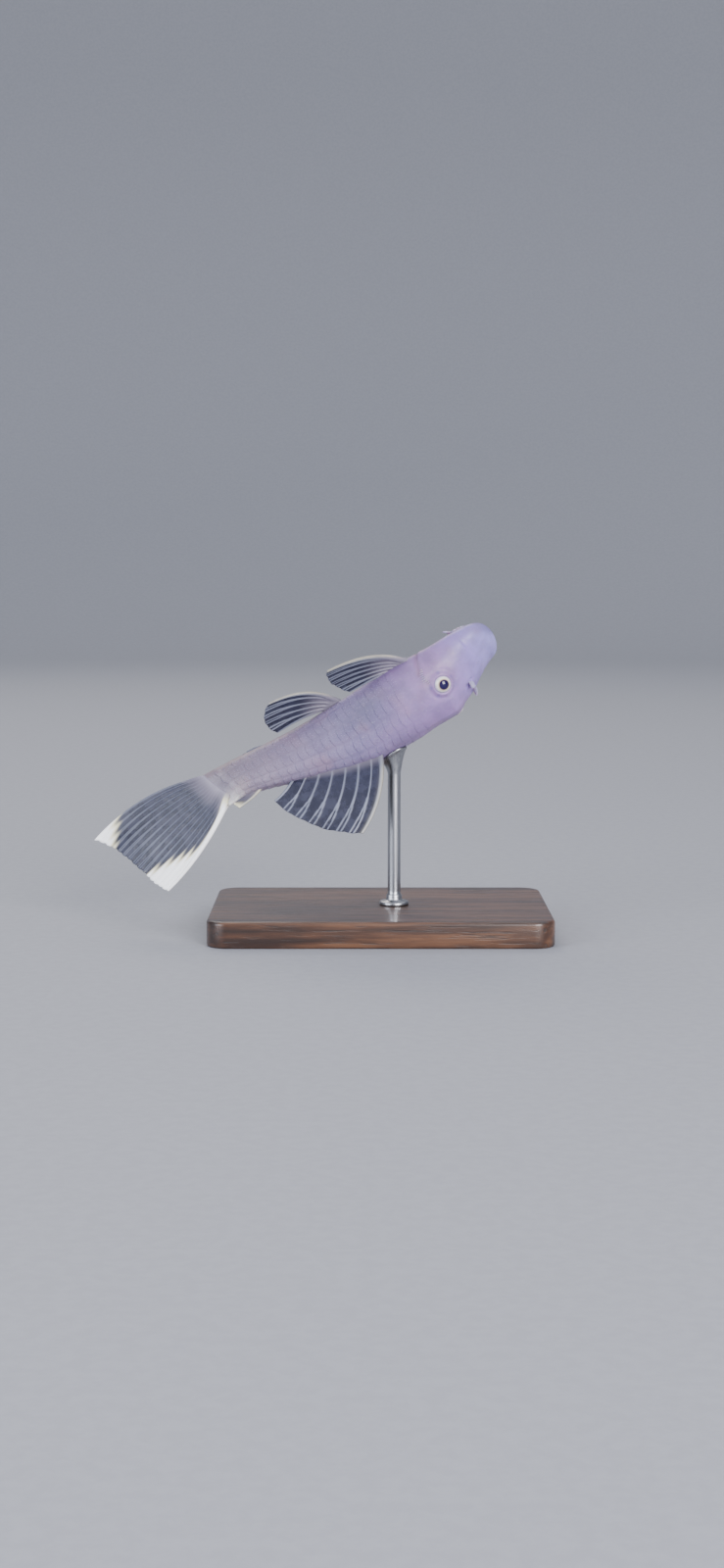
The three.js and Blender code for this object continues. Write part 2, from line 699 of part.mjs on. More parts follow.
// How far below the rod's aiming point the body's underside lies, along a direction of the fish frame
function contactDepth(axis) {
  const start = place(ROD.at, ROD.left, ROD.back);
  const caster = new THREE.Raycaster(start, axis);
  const shell = new THREE.Mesh(bodySkin(), new THREE.MeshBasicMaterial({ side: THREE.DoubleSide }));
  return caster.intersectObject(shell)[0].distance;
}

const model = new THREE.Group();
model.add(fish);
model.add(node("stand_base", standBase(), BASE_WOOD));
model.add(node("stand_rod", standRod(), ROD_STEEL));

export default model;
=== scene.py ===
"""Life-size model of a pale bristlenose pleco, belly up, on a plain display stand.

The fish is worked out in its own frame, in millimetres. "at" is the distance behind the snout tip,
"left" is towards the fish's left side and "up" is towards its back, with 0 at the flat belly.
A turn of 0 is the left flank at its widest, a quarter turn is the midline of the back.
"""

import math

import bpy
import numpy as np
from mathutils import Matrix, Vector


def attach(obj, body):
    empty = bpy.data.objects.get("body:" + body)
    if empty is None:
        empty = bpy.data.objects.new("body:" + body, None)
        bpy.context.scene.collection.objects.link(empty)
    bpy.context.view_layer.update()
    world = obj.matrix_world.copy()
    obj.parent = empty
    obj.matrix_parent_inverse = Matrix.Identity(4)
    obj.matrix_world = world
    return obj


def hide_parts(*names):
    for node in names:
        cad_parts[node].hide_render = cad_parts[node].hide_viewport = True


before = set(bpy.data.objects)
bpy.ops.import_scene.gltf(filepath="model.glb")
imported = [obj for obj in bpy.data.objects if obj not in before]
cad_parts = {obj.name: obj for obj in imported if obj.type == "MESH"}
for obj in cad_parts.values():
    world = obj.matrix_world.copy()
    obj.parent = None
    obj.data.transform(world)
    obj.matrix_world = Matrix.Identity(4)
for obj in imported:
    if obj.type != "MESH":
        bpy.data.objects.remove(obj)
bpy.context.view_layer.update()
MM = 0.001
TURN = 2 * math.pi
chance = np.random.default_rng(14)

# Pose of the fish over the stand
NOSE_UP = math.radians(30)
ROLL = math.radians(150)
SNOUT_TIP = np.array([25.2, 3.6, 70.4])

# Body sizes by stations: at, half width, level of the back, level of the belly, share of the depth
# at which the body is widest, and how square the section is above and below that level. The snout is
# rounded off over one length in height and another in width, and the tail's end over a third, after
# it has lost a share of its width
STATIONS = np.array([
    [0.0, 7.6, 5.6, -0.5, 0.45, 2.0, 2.3],
    [3.0, 7.9, 6.1, -0.6, 0.42, 1.95, 2.6],
    [6.5, 8.8, 8.1, -0.4, 0.36, 1.9, 2.9],
    [10.0, 9.7, 10.9, -0.1, 0.3, 1.9, 3.1],
    [13.5, 10.1, 12.9, 0.2, 0.27, 1.9, 3.2],
    [16.5, 10.4, 14.6, 0.2, 0.27, 1.9, 3.2],
    [21.0, 10.7, 14.5, 0.1, 0.28, 1.95, 3.2],
    [27.0, 10.5, 15.0, 0.0, 0.28, 1.95, 3.1],
    [36.0, 9.0, 15.1, 0.0, 0.3, 2.0, 2.9],
    [42.0, 7.9, 14.3, -0.1, 0.33, 2.05, 2.7],
    [48.0, 6.7, 12.8, -0.2, 0.37, 2.1, 2.5],
    [55.0, 5.1, 11.2, -0.3, 0.42, 2.15, 2.35],
    [62.0, 3.9, 9.6, -0.4, 0.46, 2.2, 2.3],
    [68.0, 3.0, 8.8, -0.5, 0.48, 2.25, 2.3],
    [72.0, 2.3, 9.0, -0.8, 0.5, 2.3, 2.3],
    [74.0, 1.6, 9.1, -1.0, 0.5, 2.3, 2.3],
])
NOSE_ROUND = 2.2
NOSE_WIDE_ROUND = 4.6
TAIL_END = 73.2
TAIL_TIP = TAIL_END + 1
TAIL_ROUND = 1.4
TAIL_THIN = 0.6
TAIL_THIN_FROM = 69.5

# Sideways curve of the tail, as at and left, and the lean of the bone plate that carries the tail fin
SWAY = np.array([
    [0, 0], [30, 0], [45, 0.9], [58, 3.2], [68, 5.0], [75, 5.4], [84, 4.6], [94, 2.2], [104, -0.8],
])
TAIL_LEAN = 0.42
TAIL_LEAN_FROM = 62

# Bony plates in rows from the back's midline down to the belly's edge. They rise out of the skin over
# a few millimetres, are faint at first, have their full height from SCUTES_FADE on and are all a
# little uneven
SCUTE_ROWS = 5
SCUTES = 24
SCUTES_FROM = 24
SCUTES_RISE = (SCUTES_FROM - 2.4, SCUTES_FROM + 1.2)
SCUTE_PITCH = (TAIL_END - 1 - SCUTES_FROM) / SCUTES
SCUTE_LIFT = 0.16
SCUTE_FRONT_SHARE = 0.35
SCUTE_KEEL = {"height": 0.3, "width": 0.1}
SCUTES_FAINT = 0.45
SCUTES_FADE = 46
SCUTES_UNEVEN = (0.8, 1.15)
SCUTE_POINT = 0.45
BELLY_EDGE = math.radians(-38)

# Eyes: the lid is a ring round the ball, the dip holds the ball and the furrow runs round the lid.
# Dark flecks lie round the eye, so far forward of its middle and towards the back. The iris is
# coloured by the turn off the ball's axis, as a share of IRIS_TURN
EYE = {"at": 15.9, "turn": math.radians(41), "radius": 2.3, "sunk": 1.25, "bulge": 0.02}
LID = {"radius": 2.25, "width": 0.45, "height": 0.3}
DIP = {"flat": 1.3, "radius": 1.95, "depth": 1.2}
FURROW = {"radius": 3.3, "width": 0.45, "depth": 0.14}
EYE_FLECKS = np.array([[-2.7, 0.7], [-2.1, -1.7], [2.6, 0.5], [0.4, 2.9]])
FLECK_SIZE = 0.42
IRIS_TURN = math.pi / 1.6
IRIS_SPOKES = 31

# Nostrils: a flap with a pit ahead of it and one behind it
NOSTRIL = {"at": 10.3, "left": 1.9}
FLAP = {"height": 2.2, "width": 1.8, "lean": 0.45, "twist": 0.6, "curl": 0.35, "cup": 0.3}
PITS = {"shifts": (-0.7, 0.95), "size": 0.5, "depth": 0.45}

# Mouth, with the outer profile of the lips as shares of their radius and height, and barbels, whose
# bend is given as points back from, outside and above their root
LIPS = {"at": 7.3, "half_length": 4.7, "half_width": 5.5, "proud": 1.35}
LIP_PROFILE = [[0.5, -0.8], [0.86, -0.6], [0.95, -0.2], [0.99, 0.15], [1.0, 0.4]]
FRILL = {"waves": 23, "depth": 0.018}
WARTS = {"rings": 9, "height": 0.16}
MOUTH = {"share": 0.34, "depth": 1.9}
THROAT = {"flat": 0.28, "reach": 0.42, "depth": 2.7}
BARBEL = {"at": 8.2, "left": 5.2, "radius": 0.5}
BARBEL_BEND = np.array([[0, -0.8, -0.6], [0.6, 0.6, -1.2], [1.84, 1.2, -1.5]])

# Cheeks: the gill slit as at and turn in degrees, its groove, the raised gill cover and its spines
GILL_SLIT = np.array([[19.5, 16], [18.6, 0], [17.8, -28], [17.3, -58]])
GILL_GROOVE = {"width": 0.28, "depth": 0.24}
GILL_COVER = {"off": 0.8, "width": 0.5, "height": 0.1, "ends": 18.2}
CHEEK = {"at": 18.2, "turn": math.radians(22), "spread": math.radians(20), "bow": 0.5}
CHEEK_SPINE = {"count": 9, "length": 1.6, "radius": 0.17, "sunk": 0.4}

# Top of the head: the edge of the bare snout and a low crest along the nape
SNOUT_EDGE = {"at": 5.4, "bend": 1.6}
NAPE = {"from": -11, "full": -15, "width": 1.1, "height": 0.16}

# Spines on the plates: a comb along each hind edge and some on each face, as shares of the plate,
# shifted at random by shares of its width and length
COMB = {"across": np.linspace(0.14, 0.86, 7), "along": [0.9]}
FACE = {"across": np.linspace(0.22, 0.78, 4), "along": [0.25, 0.55]}
SHIFTS = {"across": (-0.05, 0.05), "along": (-0.08, 0.06)}
PLATE_SPINE = {"lengths": (0.26, 0.42), "radius": 0.055, "sunk": 0.04, "kept": 0.85}

# Places of the skin's colours: where the turn goes from flank to belly and to the back, which place
# the painted shade of the belly side and of the side away from the back, a patch of painted shade on
# the upper flank, the pale foot of the tail fin, the pink cheek, and the pink band behind the
# throat. Then the widths of the seams, as shares of a plate, and of the stain along the gill slit
UNDERSIDE = (math.radians(-15), math.radians(-50))
BACKSIDE = (-0.2, 1.3)
FLANK_SHADE = {"at": 34, "length": 7, "turn": 0.35, "spread": 0.5}
FOOT = {"along": (TAIL_END - 6, TAIL_END - 1), "turn": math.radians(88), "spread": math.radians(42)}
BLUSH = {"middle": np.array([-17.0, 7.6, 6.0]), "reach": np.array([4.6, 3.0, 4.6])}
BAND = {"forward": -20.4, "width": 1.1, "share": 0.7}
SEAM = {"row": 0.07, "plate": 0.09}
SLIT_WIDTH = 0.55

# Stand: the base's lower edge as insets and levels, the rod's foot as radii and heights, the height at
# which its shaft starts, the bowl of its cup as shares of the cup's radius and depths below the skin,
# and the share of the cup's height that its wall has where the skin is lowest
BASE = {"length": 78, "width": 52, "height": 6, "corner": 5, "edge": 0.8}
BASE_FOOT = [(6.0, 0.0), (0.5, 0.0), (0.3, 0.04), (0.06, 0.26), (0.0, 0.5), (0.0, 2.8)]
ROD = {"at": 28.5, "left": 1.2, "back": 7, "radius": 1.5, "foot": 3.4, "cup": 2.9, "cup_height": 3.2}
ROD_FOOT = np.array([
    [3.0, 0.0], [3.35, 0.08], [ROD["foot"], 0.25], [ROD["foot"], 0.65], [3.3, 0.85], [2.9, 0.95],
    [2.1, 1.05], [1.85, 1.25], [1.8, 1.9], [1.78, 2.3], [1.6, 2.55], [ROD["radius"], 2.8],
])
SHAFT_FROM = 3.4
CUP_BOWL = np.array([
    [0.985, 0.02], [0.93, 0.03], [0.86, 0.12], [0.7, 0.14], [0.5, 0.15], [0.3, 0.15], [0.12, 0.15],
])
RIM_SHARE = 0.86

# Patch of skin that may lie over the rod: from and to along the body and in turn, how far it is lifted,
# and the least upright part of its outward direction. Then points of a quarter of the base's outline
# and sides of the rod and of the floor
SEAT = {"at": (22, 46), "turn": (0.2, 2.9), "lift": 0.2, "upright": 0.25}
CORNER_POINTS = 14
ROD_SIDES = 64
FLOOR_SIDES = 96


# Curves and blends
def smooth(start, end, value):
    """Smooth step from 0 at start to 1 at end: 3t squared minus 2t cubed."""
    t = np.clip((value - start) / (end - start), 0, 1)
    return t * t * (3 - 2 * t)


def bump(middle, width, value):
    """Bell curve: e to the minus square of the distance from the middle in widths."""
    return np.exp(-(((value - middle) / width) ** 2))


def power(value, exponent):
    """Power of the size of a value, with its sign kept."""
    return np.sign(value) * np.abs(value) ** exponent


def steady(x, y):
    """Curve through stations that never overshoots them: cubic pieces between stations, whose slopes
    are weighted harmonic means of the slopes on both sides, and 0 where those differ in sign."""
    span = np.diff(x)
    rise = np.diff(y) / span
    a = 2 * span[1:] + span[:-1]
    b = span[1:] + 2 * span[:-1]
    agree = rise[:-1] * rise[1:] > 0
    before = np.where(agree, rise[:-1], 1)
    after = np.where(agree, rise[1:], 1)
    inner = np.where(agree, (a + b) / (a / before + b / after), 0)
    slope = np.concatenate([rise[:1], inner, rise[-1:]])

    def curve(at):
        at = np.clip(at, x[0], x[-1])
        i = np.clip(np.searchsorted(x, at) - 1, 0, len(x) - 2)
        t = (at - x[i]) / span[i]
        keep = (1 + 2 * t) * (1 - t) ** 2 * y[i]
        reach = t * t * (3 - 2 * t) * y[i + 1]
        leave = t * (1 - t) ** 2 * span[i] * slope[i]
        arrive = t * t * (t - 1) * span[i] * slope[i + 1]
        return keep + reach + leave + arrive

    return curve


half, back, belly, widest, above, below = (
    steady(STATIONS[:, 0], STATIONS[:, column]) for column in range(1, 7)
)
sway = steady(SWAY[:, 0], SWAY[:, 1])


def placed(at, left, up):
    """Point of the fish frame (forward, left, up), moved sideways by the curve of the tail."""
    at, left, up = np.broadcast_arrays(at, left, up)
    return np.stack([-at, left + sway(at), up], axis=-1).astype(float)


def posed(points):
    """Points of the fish frame in metres of the scene: rolled about the body's length, nose raised
    about the sideways axis, then moved to the snout tip's place."""
    roll = np.array([
        [1, 0, 0],
        [0, math.cos(ROLL), -math.sin(ROLL)],
        [0, math.sin(ROLL), math.cos(ROLL)],
    ])
    pitch = np.array([
        [math.cos(NOSE_UP), 0, -math.sin(NOSE_UP)],
        [0, 1, 0],
        [math.sin(NOSE_UP), 0, math.cos(NOSE_UP)],
    ])
    return (points @ (pitch @ roll).T + SNOUT_TIP) * MM


def unit(vectors):
    """Vectors divided by their lengths."""
    return vectors / np.maximum(np.linalg.norm(vectors, axis=-1, keepdims=True), 1e-9)


def to_left(points):
    """Points with those of the right side mirrored to the left."""
    return points * np.where(points[..., 1:2] < 0, [1, -1, 1], 1)


def round_turns(count):
    """Turns of evenly spaced points round a full circle."""
    return np.arange(count) / count * TURN


# Body surface
def rounded(at, length):
    """Share of its full size that the snout has: the root of 1 minus the squared rest of the length."""
    return np.sqrt(1 - (1 - np.clip(at / length, 0, 1)) ** 2)


def bare_skin(at, turn, lift=0.0):
    """Smooth body: at each distance behind the snout a superellipse, whose upper and lower halves
    have depths and squareness of their own, rounded off like an egg at the snout, and thinned
    sideways and leaning at the tail fin."""
    nose = rounded(at, NOSE_ROUND)
    stern = np.sqrt(1 - np.clip((at - TAIL_TIP + TAIL_ROUND) / TAIL_ROUND, 0, 1) ** 2)
    stern = stern * (1 - TAIL_THIN * smooth(TAIL_THIN_FROM, TAIL_END + 0.3, at))
    low = belly(at)
    deep = back(at) - low
    level = low + widest(at) * deep
    over = np.sin(turn) >= 0
    bend = 2 / np.where(over, above(at), below(at))
    reach = np.where(over, back(at) - level, level - low) * nose + lift
    up = level + reach * power(np.sin(turn), bend)
    left = (half(at) * rounded(at, NOSE_WIDE_ROUND) + lift) * stern * power(np.cos(turn), bend)
    lean = TAIL_LEAN * smooth(TAIL_LEAN_FROM, TAIL_END, at)
    return placed(at - lean * (up - low - deep / 2), left, up)


def normals_of(surface, a, b, step=0.02):
    """Directions square to a surface of two parameters, from its slopes along each of them."""
    along = surface(a + step, b) - surface(a - step, b)
    around = surface(a, b + step) - surface(a, b - step)
    return unit(np.cross(along, around))


def folded(turn):
    """Turn on the left side that mirrors a turn on the right side."""
    return np.where(np.cos(turn) >= 0, turn, math.pi - turn)


def scute_place(at, turn):
    """Where a point lies in its plate: share of the plate's length, share of its row's width, how
    much the place is plated at all, and the plate's number along the body and down the side."""
    down = (math.pi / 2 - folded(turn)) / (math.pi / 2 - BELLY_EDGE) * SCUTE_ROWS
    row = np.clip(np.floor(down), 0, SCUTE_ROWS - 1)
    number = np.clip(np.floor((at - SCUTES_FROM) / SCUTE_PITCH + 1e-6), 0, SCUTES - 1)
    along = np.clip((at - SCUTES_FROM) / SCUTE_PITCH - number, 0, 1)
    across = np.clip(down - row, 0, 1)
    plated = smooth(*SCUTES_RISE, at) * (down < SCUTE_ROWS)
    return along, across, plated, number.astype(int), row.astype(int)


scute_heights = chance.uniform(*SCUTES_UNEVEN, (SCUTES, SCUTE_ROWS))


def scute_lift(at, turn):
    """Height of the plates over the bare skin: each one rises from its front edge to a step at its
    hind edge, is rounded across its row and has a low keel along the row's middle."""
    along, across, plated, number, row = scute_place(at, turn)
    crown = (4 * across * (1 - across)) ** 0.6
    slope = SCUTE_FRONT_SHARE + (1 - SCUTE_FRONT_SHARE) * along**0.8
    keel = SCUTE_KEEL["height"] * bump(0.5, SCUTE_KEEL["width"], across) * along
    faint = SCUTES_FAINT + (1 - SCUTES_FAINT) * smooth(SCUTES_FROM, SCUTES_FADE, at)
    return plated * SCUTE_LIFT * faint * scute_heights[number, row] * (crown * slope + keel)


def plated_skin(at, turn):
    """Body with its plates: their hind edges are drawn back to a point in the middle of each row."""
    across, plated = scute_place(at, turn)[1:3]
    point = plated * SCUTE_POINT * 4 * across * (1 - across)
    return bare_skin(at + point, turn, scute_lift(at, turn))


eye_axis = normals_of(bare_skin, np.array(EYE["at"]), np.array(EYE["turn"]))
eye_middle = bare_skin(np.array(EYE["at"]), np.array(EYE["turn"])) - EYE["sunk"] * eye_axis


def turn_at_left(at, left):
    """Turn at which the upper skin is a given distance left of the midline."""
    return np.arccos(np.clip(left / half(at), 0, 1) ** (above(at) / 2))


def distance_to_line(points, line):
    """Distance from each point to the nearest of the points that make up a line."""
    flat = points.reshape(-1, 3)
    nearest = np.full(len(flat), 1e9)
    for spot in line:
        nearest = np.minimum(nearest, np.linalg.norm(flat - spot, axis=1))
    return nearest.reshape(points.shape[:-1])


def gill_line():
    """Line of the gill slit on the left side, as close points on the bare skin."""
    steps = np.linspace(0, 1, 160)
    knots = np.linspace(0, 1, len(GILL_SLIT))
    at = steady(knots, GILL_SLIT[:, 0])(steps)
    turn = np.radians(steady(knots, GILL_SLIT[:, 1])(steps))
    return bare_skin(at, turn)


def nostril_spot(shift):
    """Point of the left nostril on the bare skin, moved back by a shift."""
    at = np.array(NOSTRIL["at"] + shift)
    return bare_skin(at, turn_at_left(at, NOSTRIL["left"]))


def head_relief(points):
    """Height of the head's forms over the bare skin: a raised lid round each eye with a dip inside it
    and a shallow furrow outside, two pits at each nostril, the gill slit as a groove behind a raised
    gill cover, the hollow of the mouth under the lips, a low crest along the nape and the edge where
    the bare snout meets the plated head."""
    left = to_left(points)
    forward, aside, up = np.moveaxis(left, -1, 0)
    out = (left - eye_middle) @ eye_axis
    radial = np.linalg.norm(left - eye_middle - out[..., None] * eye_axis, axis=-1)
    lid = LID["height"] * bump(LID["radius"], LID["width"], radial)
    dip = DIP["depth"] * (1 - smooth(DIP["flat"], DIP["radius"], radial))
    furrow = FURROW["depth"] * bump(FURROW["radius"], FURROW["width"], radial)
    socket = smooth(-0.5, 0.5, out) * (lid - dip - furrow)
    pits = sum(
        PITS["depth"] * bump(0, PITS["size"], np.linalg.norm(left - nostril_spot(shift), axis=-1))
        for shift in PITS["shifts"]
    )
    slit = distance_to_line(left, gill_line())
    groove = GILL_GROOVE["depth"] * bump(0, GILL_GROOVE["width"], slit)
    cover = GILL_COVER["height"] * bump(GILL_COVER["off"], GILL_COVER["width"], slit)
    cover = cover * smooth(-0.2, 0.6, forward + GILL_COVER["ends"])
    from_mouth = np.hypot(
        (forward + LIPS["at"]) / LIPS["half_length"], aside / (1.35 * LIPS["half_width"])
    )
    throat = THROAT["depth"] * (1 - smooth(THROAT["flat"], THROAT["reach"], from_mouth)) * (up < 1)
    crest = NAPE["height"] * bump(0, NAPE["width"], aside) * smooth(NAPE["from"], NAPE["full"], forward)
    edge = forward + SNOUT_EDGE["at"] + SNOUT_EDGE["bend"] * (aside / 8) ** 2
    bare = 0.06 * bump(-0.6, 0.5, edge) - 0.1 * bump(0, 0.3, edge)
    return socket - pits - groove + cover - throat + smooth(2.0, 4.0, up) * (crest + bare)


def dressed_skin(at, turn):
    """Body with plates and, ahead of them, the head's forms raised along the bare skin's normals."""
    points = plated_skin(at, turn)
    at, turn = np.broadcast_arrays(at, turn)
    head = at < SCUTES_FROM
    raised = head_relief(bare_skin(at[head], turn[head]))
    points[head] += raised[:, None] * normals_of(bare_skin, at[head], turn[head])
    return points


# Meshes: a shape is its vertices in millimetres, its quads and its triangles. The two directions
# below lie off every tube's and every spine's own
OFF_AXIS = np.array([0.31, 0.17, 0.94])
OFF_SPINE = np.array([0.2, 0.35, 0.9])


def standing(points):
    """Points of the stand or the floor in metres of the scene."""
    return points * MM


def grid_faces(rows, columns, closed):
    """Four-sided faces between neighbouring rows and columns, round the last column if closed."""
    wide = columns if closed else columns - 1
    row, column = np.meshgrid(np.arange(rows - 1), np.arange(wide), indexing="ij")
    after = (column + 1) % columns
    corners = [row * columns + column, row * columns + after]
    corners += [corners[1] + columns, corners[0] + columns]
    return np.stack(corners, axis=-1).reshape(-1, 4)


def signed_volume(points, faces):
    """Six times the volume inside faces: the triple products of each fan triangle's corners, added."""
    total = 0.0
    for corner in range(1, faces.shape[1] - 1):
        a, b, c = points[faces[:, 0]], points[faces[:, corner]], points[faces[:, corner + 1]]
        total += np.einsum("ij,ij->", a, np.cross(b, c))
    return total


def new_piece(name, shape, place, material, slot=None, values=None):
    """A smooth mesh object from a shape's vertices, quads and triangles: placed in the scene, its faces
    turned outwards, and with one value a vertex for each attribute. With a slot it rides on the one
    body of the model."""
    points, quads, triangles = shape
    points = place(points)
    middle = points - points.mean(axis=0)
    if signed_volume(middle, quads) + signed_volume(middle, triangles) < 0:
        quads, triangles = quads[:, ::-1], triangles[:, ::-1]
    corners = np.concatenate([quads.ravel(), triangles.ravel()])
    sizes = np.concatenate([np.full(len(quads), 4), np.full(len(triangles), 3)])
    mesh = bpy.data.meshes.new(name)
    mesh.vertices.add(len(points))
    mesh.vertices.foreach_set("co", points.ravel())
    mesh.loops.add(len(corners))
    mesh.loops.foreach_set("vertex_index", corners)
    mesh.polygons.add(len(sizes))
    mesh.polygons.foreach_set("loop_start", np.concatenate([[0], np.cumsum(sizes)[:-1]]))
    mesh.polygons.foreach_set("loop_total", sizes)
    mesh.polygons.foreach_set("use_smooth", np.ones(len(sizes), dtype=bool))
    for key, numbers in (values or {}).items():
        layer = mesh.attributes.new(key, "FLOAT", "POINT")
        layer.data.foreach_set("value", numbers)
    mesh.update(calc_edges=True)
    mesh.validate()
    piece = bpy.data.objects.new(name, mesh)
    bpy.context.collection.objects.link(piece)
    mesh.materials.append(material)
    if slot:
        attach(piece, "root")
    return piece


def closed_tube(rings, start, end):
    """Shape of rings of points joined side to side, shut by a point at each end."""
    rows, columns = rings.shape[:2]
    points = np.concatenate([rings.reshape(-1, 3), [start, end]])
    first = np.arange(columns)
    after = np.roll(first, -1)
    last = first + (rows - 1) * columns
    nose = np.stack([np.full(columns, rows * columns), after, first], axis=-1)
    heel = np.stack([np.full(columns, rows * columns + 1), last, np.roll(last, -1)], axis=-1)
    return points, grid_faces(rows, columns, True), np.concatenate([nose, heel])


def with_ends(layer, start=0.0, end=0.0):
    """Values of a closed tube: those of its rings, then those of its two end points."""
    return np.concatenate([layer.ravel(), [start, end]])


def circle(turn, aside, over):
    """Directions at turns from one direction to another that is square to it."""
    turn = turn[..., None]
    return np.cos(turn) * aside + np.sin(turn) * over


def turned(radius, level, turn, middle=(0, 0)):
    """Rings of a profile of radii and levels turned about an upright axis."""
    x = middle[0] + radius * np.cos(turn)
    y = middle[1] + radius * np.sin(turn)
    return np.stack([x, y, level + 0 * turn], axis=-1)


def swept(path, radii, sides):
    """Round tube along a path: circles square to the path, with the given radii."""
    along = unit(np.gradient(path, axis=0))
    aside = unit(np.cross(along, OFF_AXIS))
    around = circle(round_turns(sides), aside[:, None], np.cross(along, aside)[:, None])
    rings = path[:, None] + radii[:, None, None] * around
    return closed_tube(rings, path[0], path[-1])


def joined(parts):
    """Several shapes as one."""
    points, quads, triangles, count = [], [], [], 0
    for part_points, part_quads, part_triangles in parts:
        points.append(part_points)
        quads.append(part_quads + count)
        triangles.append(part_triangles + count)
        count += len(part_points)
    return np.concatenate(points), np.concatenate(quads), np.concatenate(triangles)


def bezier(points, share):
    """Curve drawn towards three or four points: binomial weights of the share and its rest."""
    share = np.asarray(share)[..., None]
    order = len(points) - 1
    total = 0
    for i, point in enumerate(points):
        total = total + math.comb(order, i) * share**i * (1 - share) ** (order - i) * point
    return total


def small_spines(roots, directions, lengths, radius):
    """Many four-sided spines at once: a square foot in the skin and a tip along each direction."""
    side = unit(np.cross(directions, OFF_SPINE))
    around = circle(round_turns(4), side[:, None], np.cross(directions, side)[:, None])
    foot = roots[:, None] + radius * around
    tips = roots + lengths[:, None] * directions
    points = np.concatenate([foot, tips[:, None]], axis=1)
    start = np.arange(len(roots))[:, None] * 5
    flanks = [start + [i, (i + 1) % 4, 4] for i in range(4)]
    return points.reshape(-1, 3), start + [3, 2, 1, 0], np.concatenate(flanks)


# Materials
def srgb(red, green, blue):
    """Colour from 0 to 255 as linear light, opaque."""
    shares = [channel / 255 for channel in (red, green, blue)]
    linear = [s / 12.92 if s <= 0.04045 else ((s + 0.055) / 1.055) ** 2.4 for s in shares]
    return (*linear, 1.0)


class Wire:
    """One output socket that takes part in sums, so that an expression adds its Math nodes."""

    def __init__(self, finish, socket):
        self.finish = finish
        self.socket = socket

    def sum(self, operation, first, second):
        return self.finish.node("ShaderNodeMath", {"operation": operation}, {0: first, 1: second})

    def __add__(self, other):
        return self.sum("ADD", self, other)

    def __radd__(self, other):
        return self.sum("ADD", other, self)

    def __rsub__(self, other):
        return self.sum("SUBTRACT", other, self)

    def __mul__(self, other):
        return self.sum("MULTIPLY", self, other)


class Finish:
    """A material being made, with one Principled shader at its end."""

    def __init__(self, name):
        self.material = bpy.data.materials.new(name)
        self.material.use_nodes = True
        self.nodes = self.material.node_tree.nodes
        self.nodes.clear()
        self.place = self.node("ShaderNodeTexCoord", {}, {}, "Object")

    def node(self, kind, settings, sockets, out=0):
        """Adds a node, with its settings first and then the values or links of its sockets, and
        gives one of its outputs."""
        made = self.nodes.new(kind)
        for key, value in settings.items():
            setattr(made, key, value)
        for key, value in sockets.items():
            socket = self.socket(made.inputs, key)
            if isinstance(value, Wire):
                self.material.node_tree.links.new(value.socket, socket)
            else:
                socket.default_value = value
        return Wire(self, self.socket(made.outputs, out))

    def socket(self, sockets, key):
        """The socket with a number, an identifier or a name."""
        if isinstance(key, int):
            return sockets[key]
        exact = [s for s in sockets if s.identifier == key]
        return (exact or [s for s in sockets if s.name == key])[0]

    def ramp(self, value, stops):
        """Colours along a value, by stops of place, red, green and blue."""
        wire = self.node("ShaderNodeValToRGB", {}, {"Fac": value}, "Color")
        elements = wire.socket.node.color_ramp.elements
        while len(elements) < len(stops):
            elements.new(1.0)
        for element, (place, *colour) in zip(elements, stops):
            element.position = place
            element.color = srgb(*colour)
        return wire

    def span(self, value, low, high, start=0.0, end=1.0):
        """A value carried smoothly from one range to another."""
        sockets = {"Value": value, "From Min": low, "From Max": high, "To Min": start, "To Max": end}
        return self.node("ShaderNodeMapRange", {"interpolation_type": "SMOOTHSTEP"}, sockets, "Result")

    def mix(self, share, first, second, blend="MIX"):
        """Two colours mixed by a share."""
        sockets = {"Factor_Float": share, "A_Color": first, "B_Color": second}
        settings = {"data_type": "RGBA", "blend_type": blend}
        return self.node("ShaderNodeMix", settings, sockets, "Result_Color")

    def value(self, name):
        """The piece's own value at each vertex."""
        return self.node("ShaderNodeAttribute", {"attribute_name": name}, {}, "Fac")

    def noise(self, scale, detail=2.0, rough=0.5, place=None):
        """Cloudy noise, with its scale in cycles a metre."""
        sockets = {"Vector": place or self.place, "Scale": scale, "Detail": detail, "Roughness": rough}
        return self.node("ShaderNodeTexNoise", {}, sockets, "Fac")

    def uneven(self, low, high, scale):
        """A number that wanders between two others with the noise."""
        return self.span(self.noise(scale), 0.3, 0.7, low, high)

    def clouds(self, low, high, *noise):
        """Noise spread smoothly over the whole range between two of its levels."""
        return self.span(self.noise(*noise), low, high)

    def cells(self, scale):
        """Distance to the nearest of scattered points."""
        return self.node("ShaderNodeTexVoronoi", {}, {"Vector": self.place, "Scale": scale}, 0)

    def stretched(self, scale):
        """Place on the piece with each direction scaled by its own number."""
        return self.node("ShaderNodeMapping", {}, {"Vector": self.place, "Scale": scale})

    def relief(self, height, depth, strength):
        """Normal bent by a height whose full range is a depth in metres."""
        sockets = {"Height": height, "Distance": depth, "Strength": strength}
        return self.node("ShaderNodeBump", {}, sockets, "Normal")

    def done(self, **sockets):
        """Ends the material: values and links of the shader's sockets by their names."""
        named = {
            key.replace("_", " ").title().replace("Ior", "IOR"): value for key, value in sockets.items()
        }
        shader = self.node("ShaderNodeBsdfPrincipled", {}, named, "BSDF")
        end = self.nodes.new("ShaderNodeOutputMaterial")
        self.material.node_tree.links.new(shader.socket, end.inputs["Surface"])
        return self.material


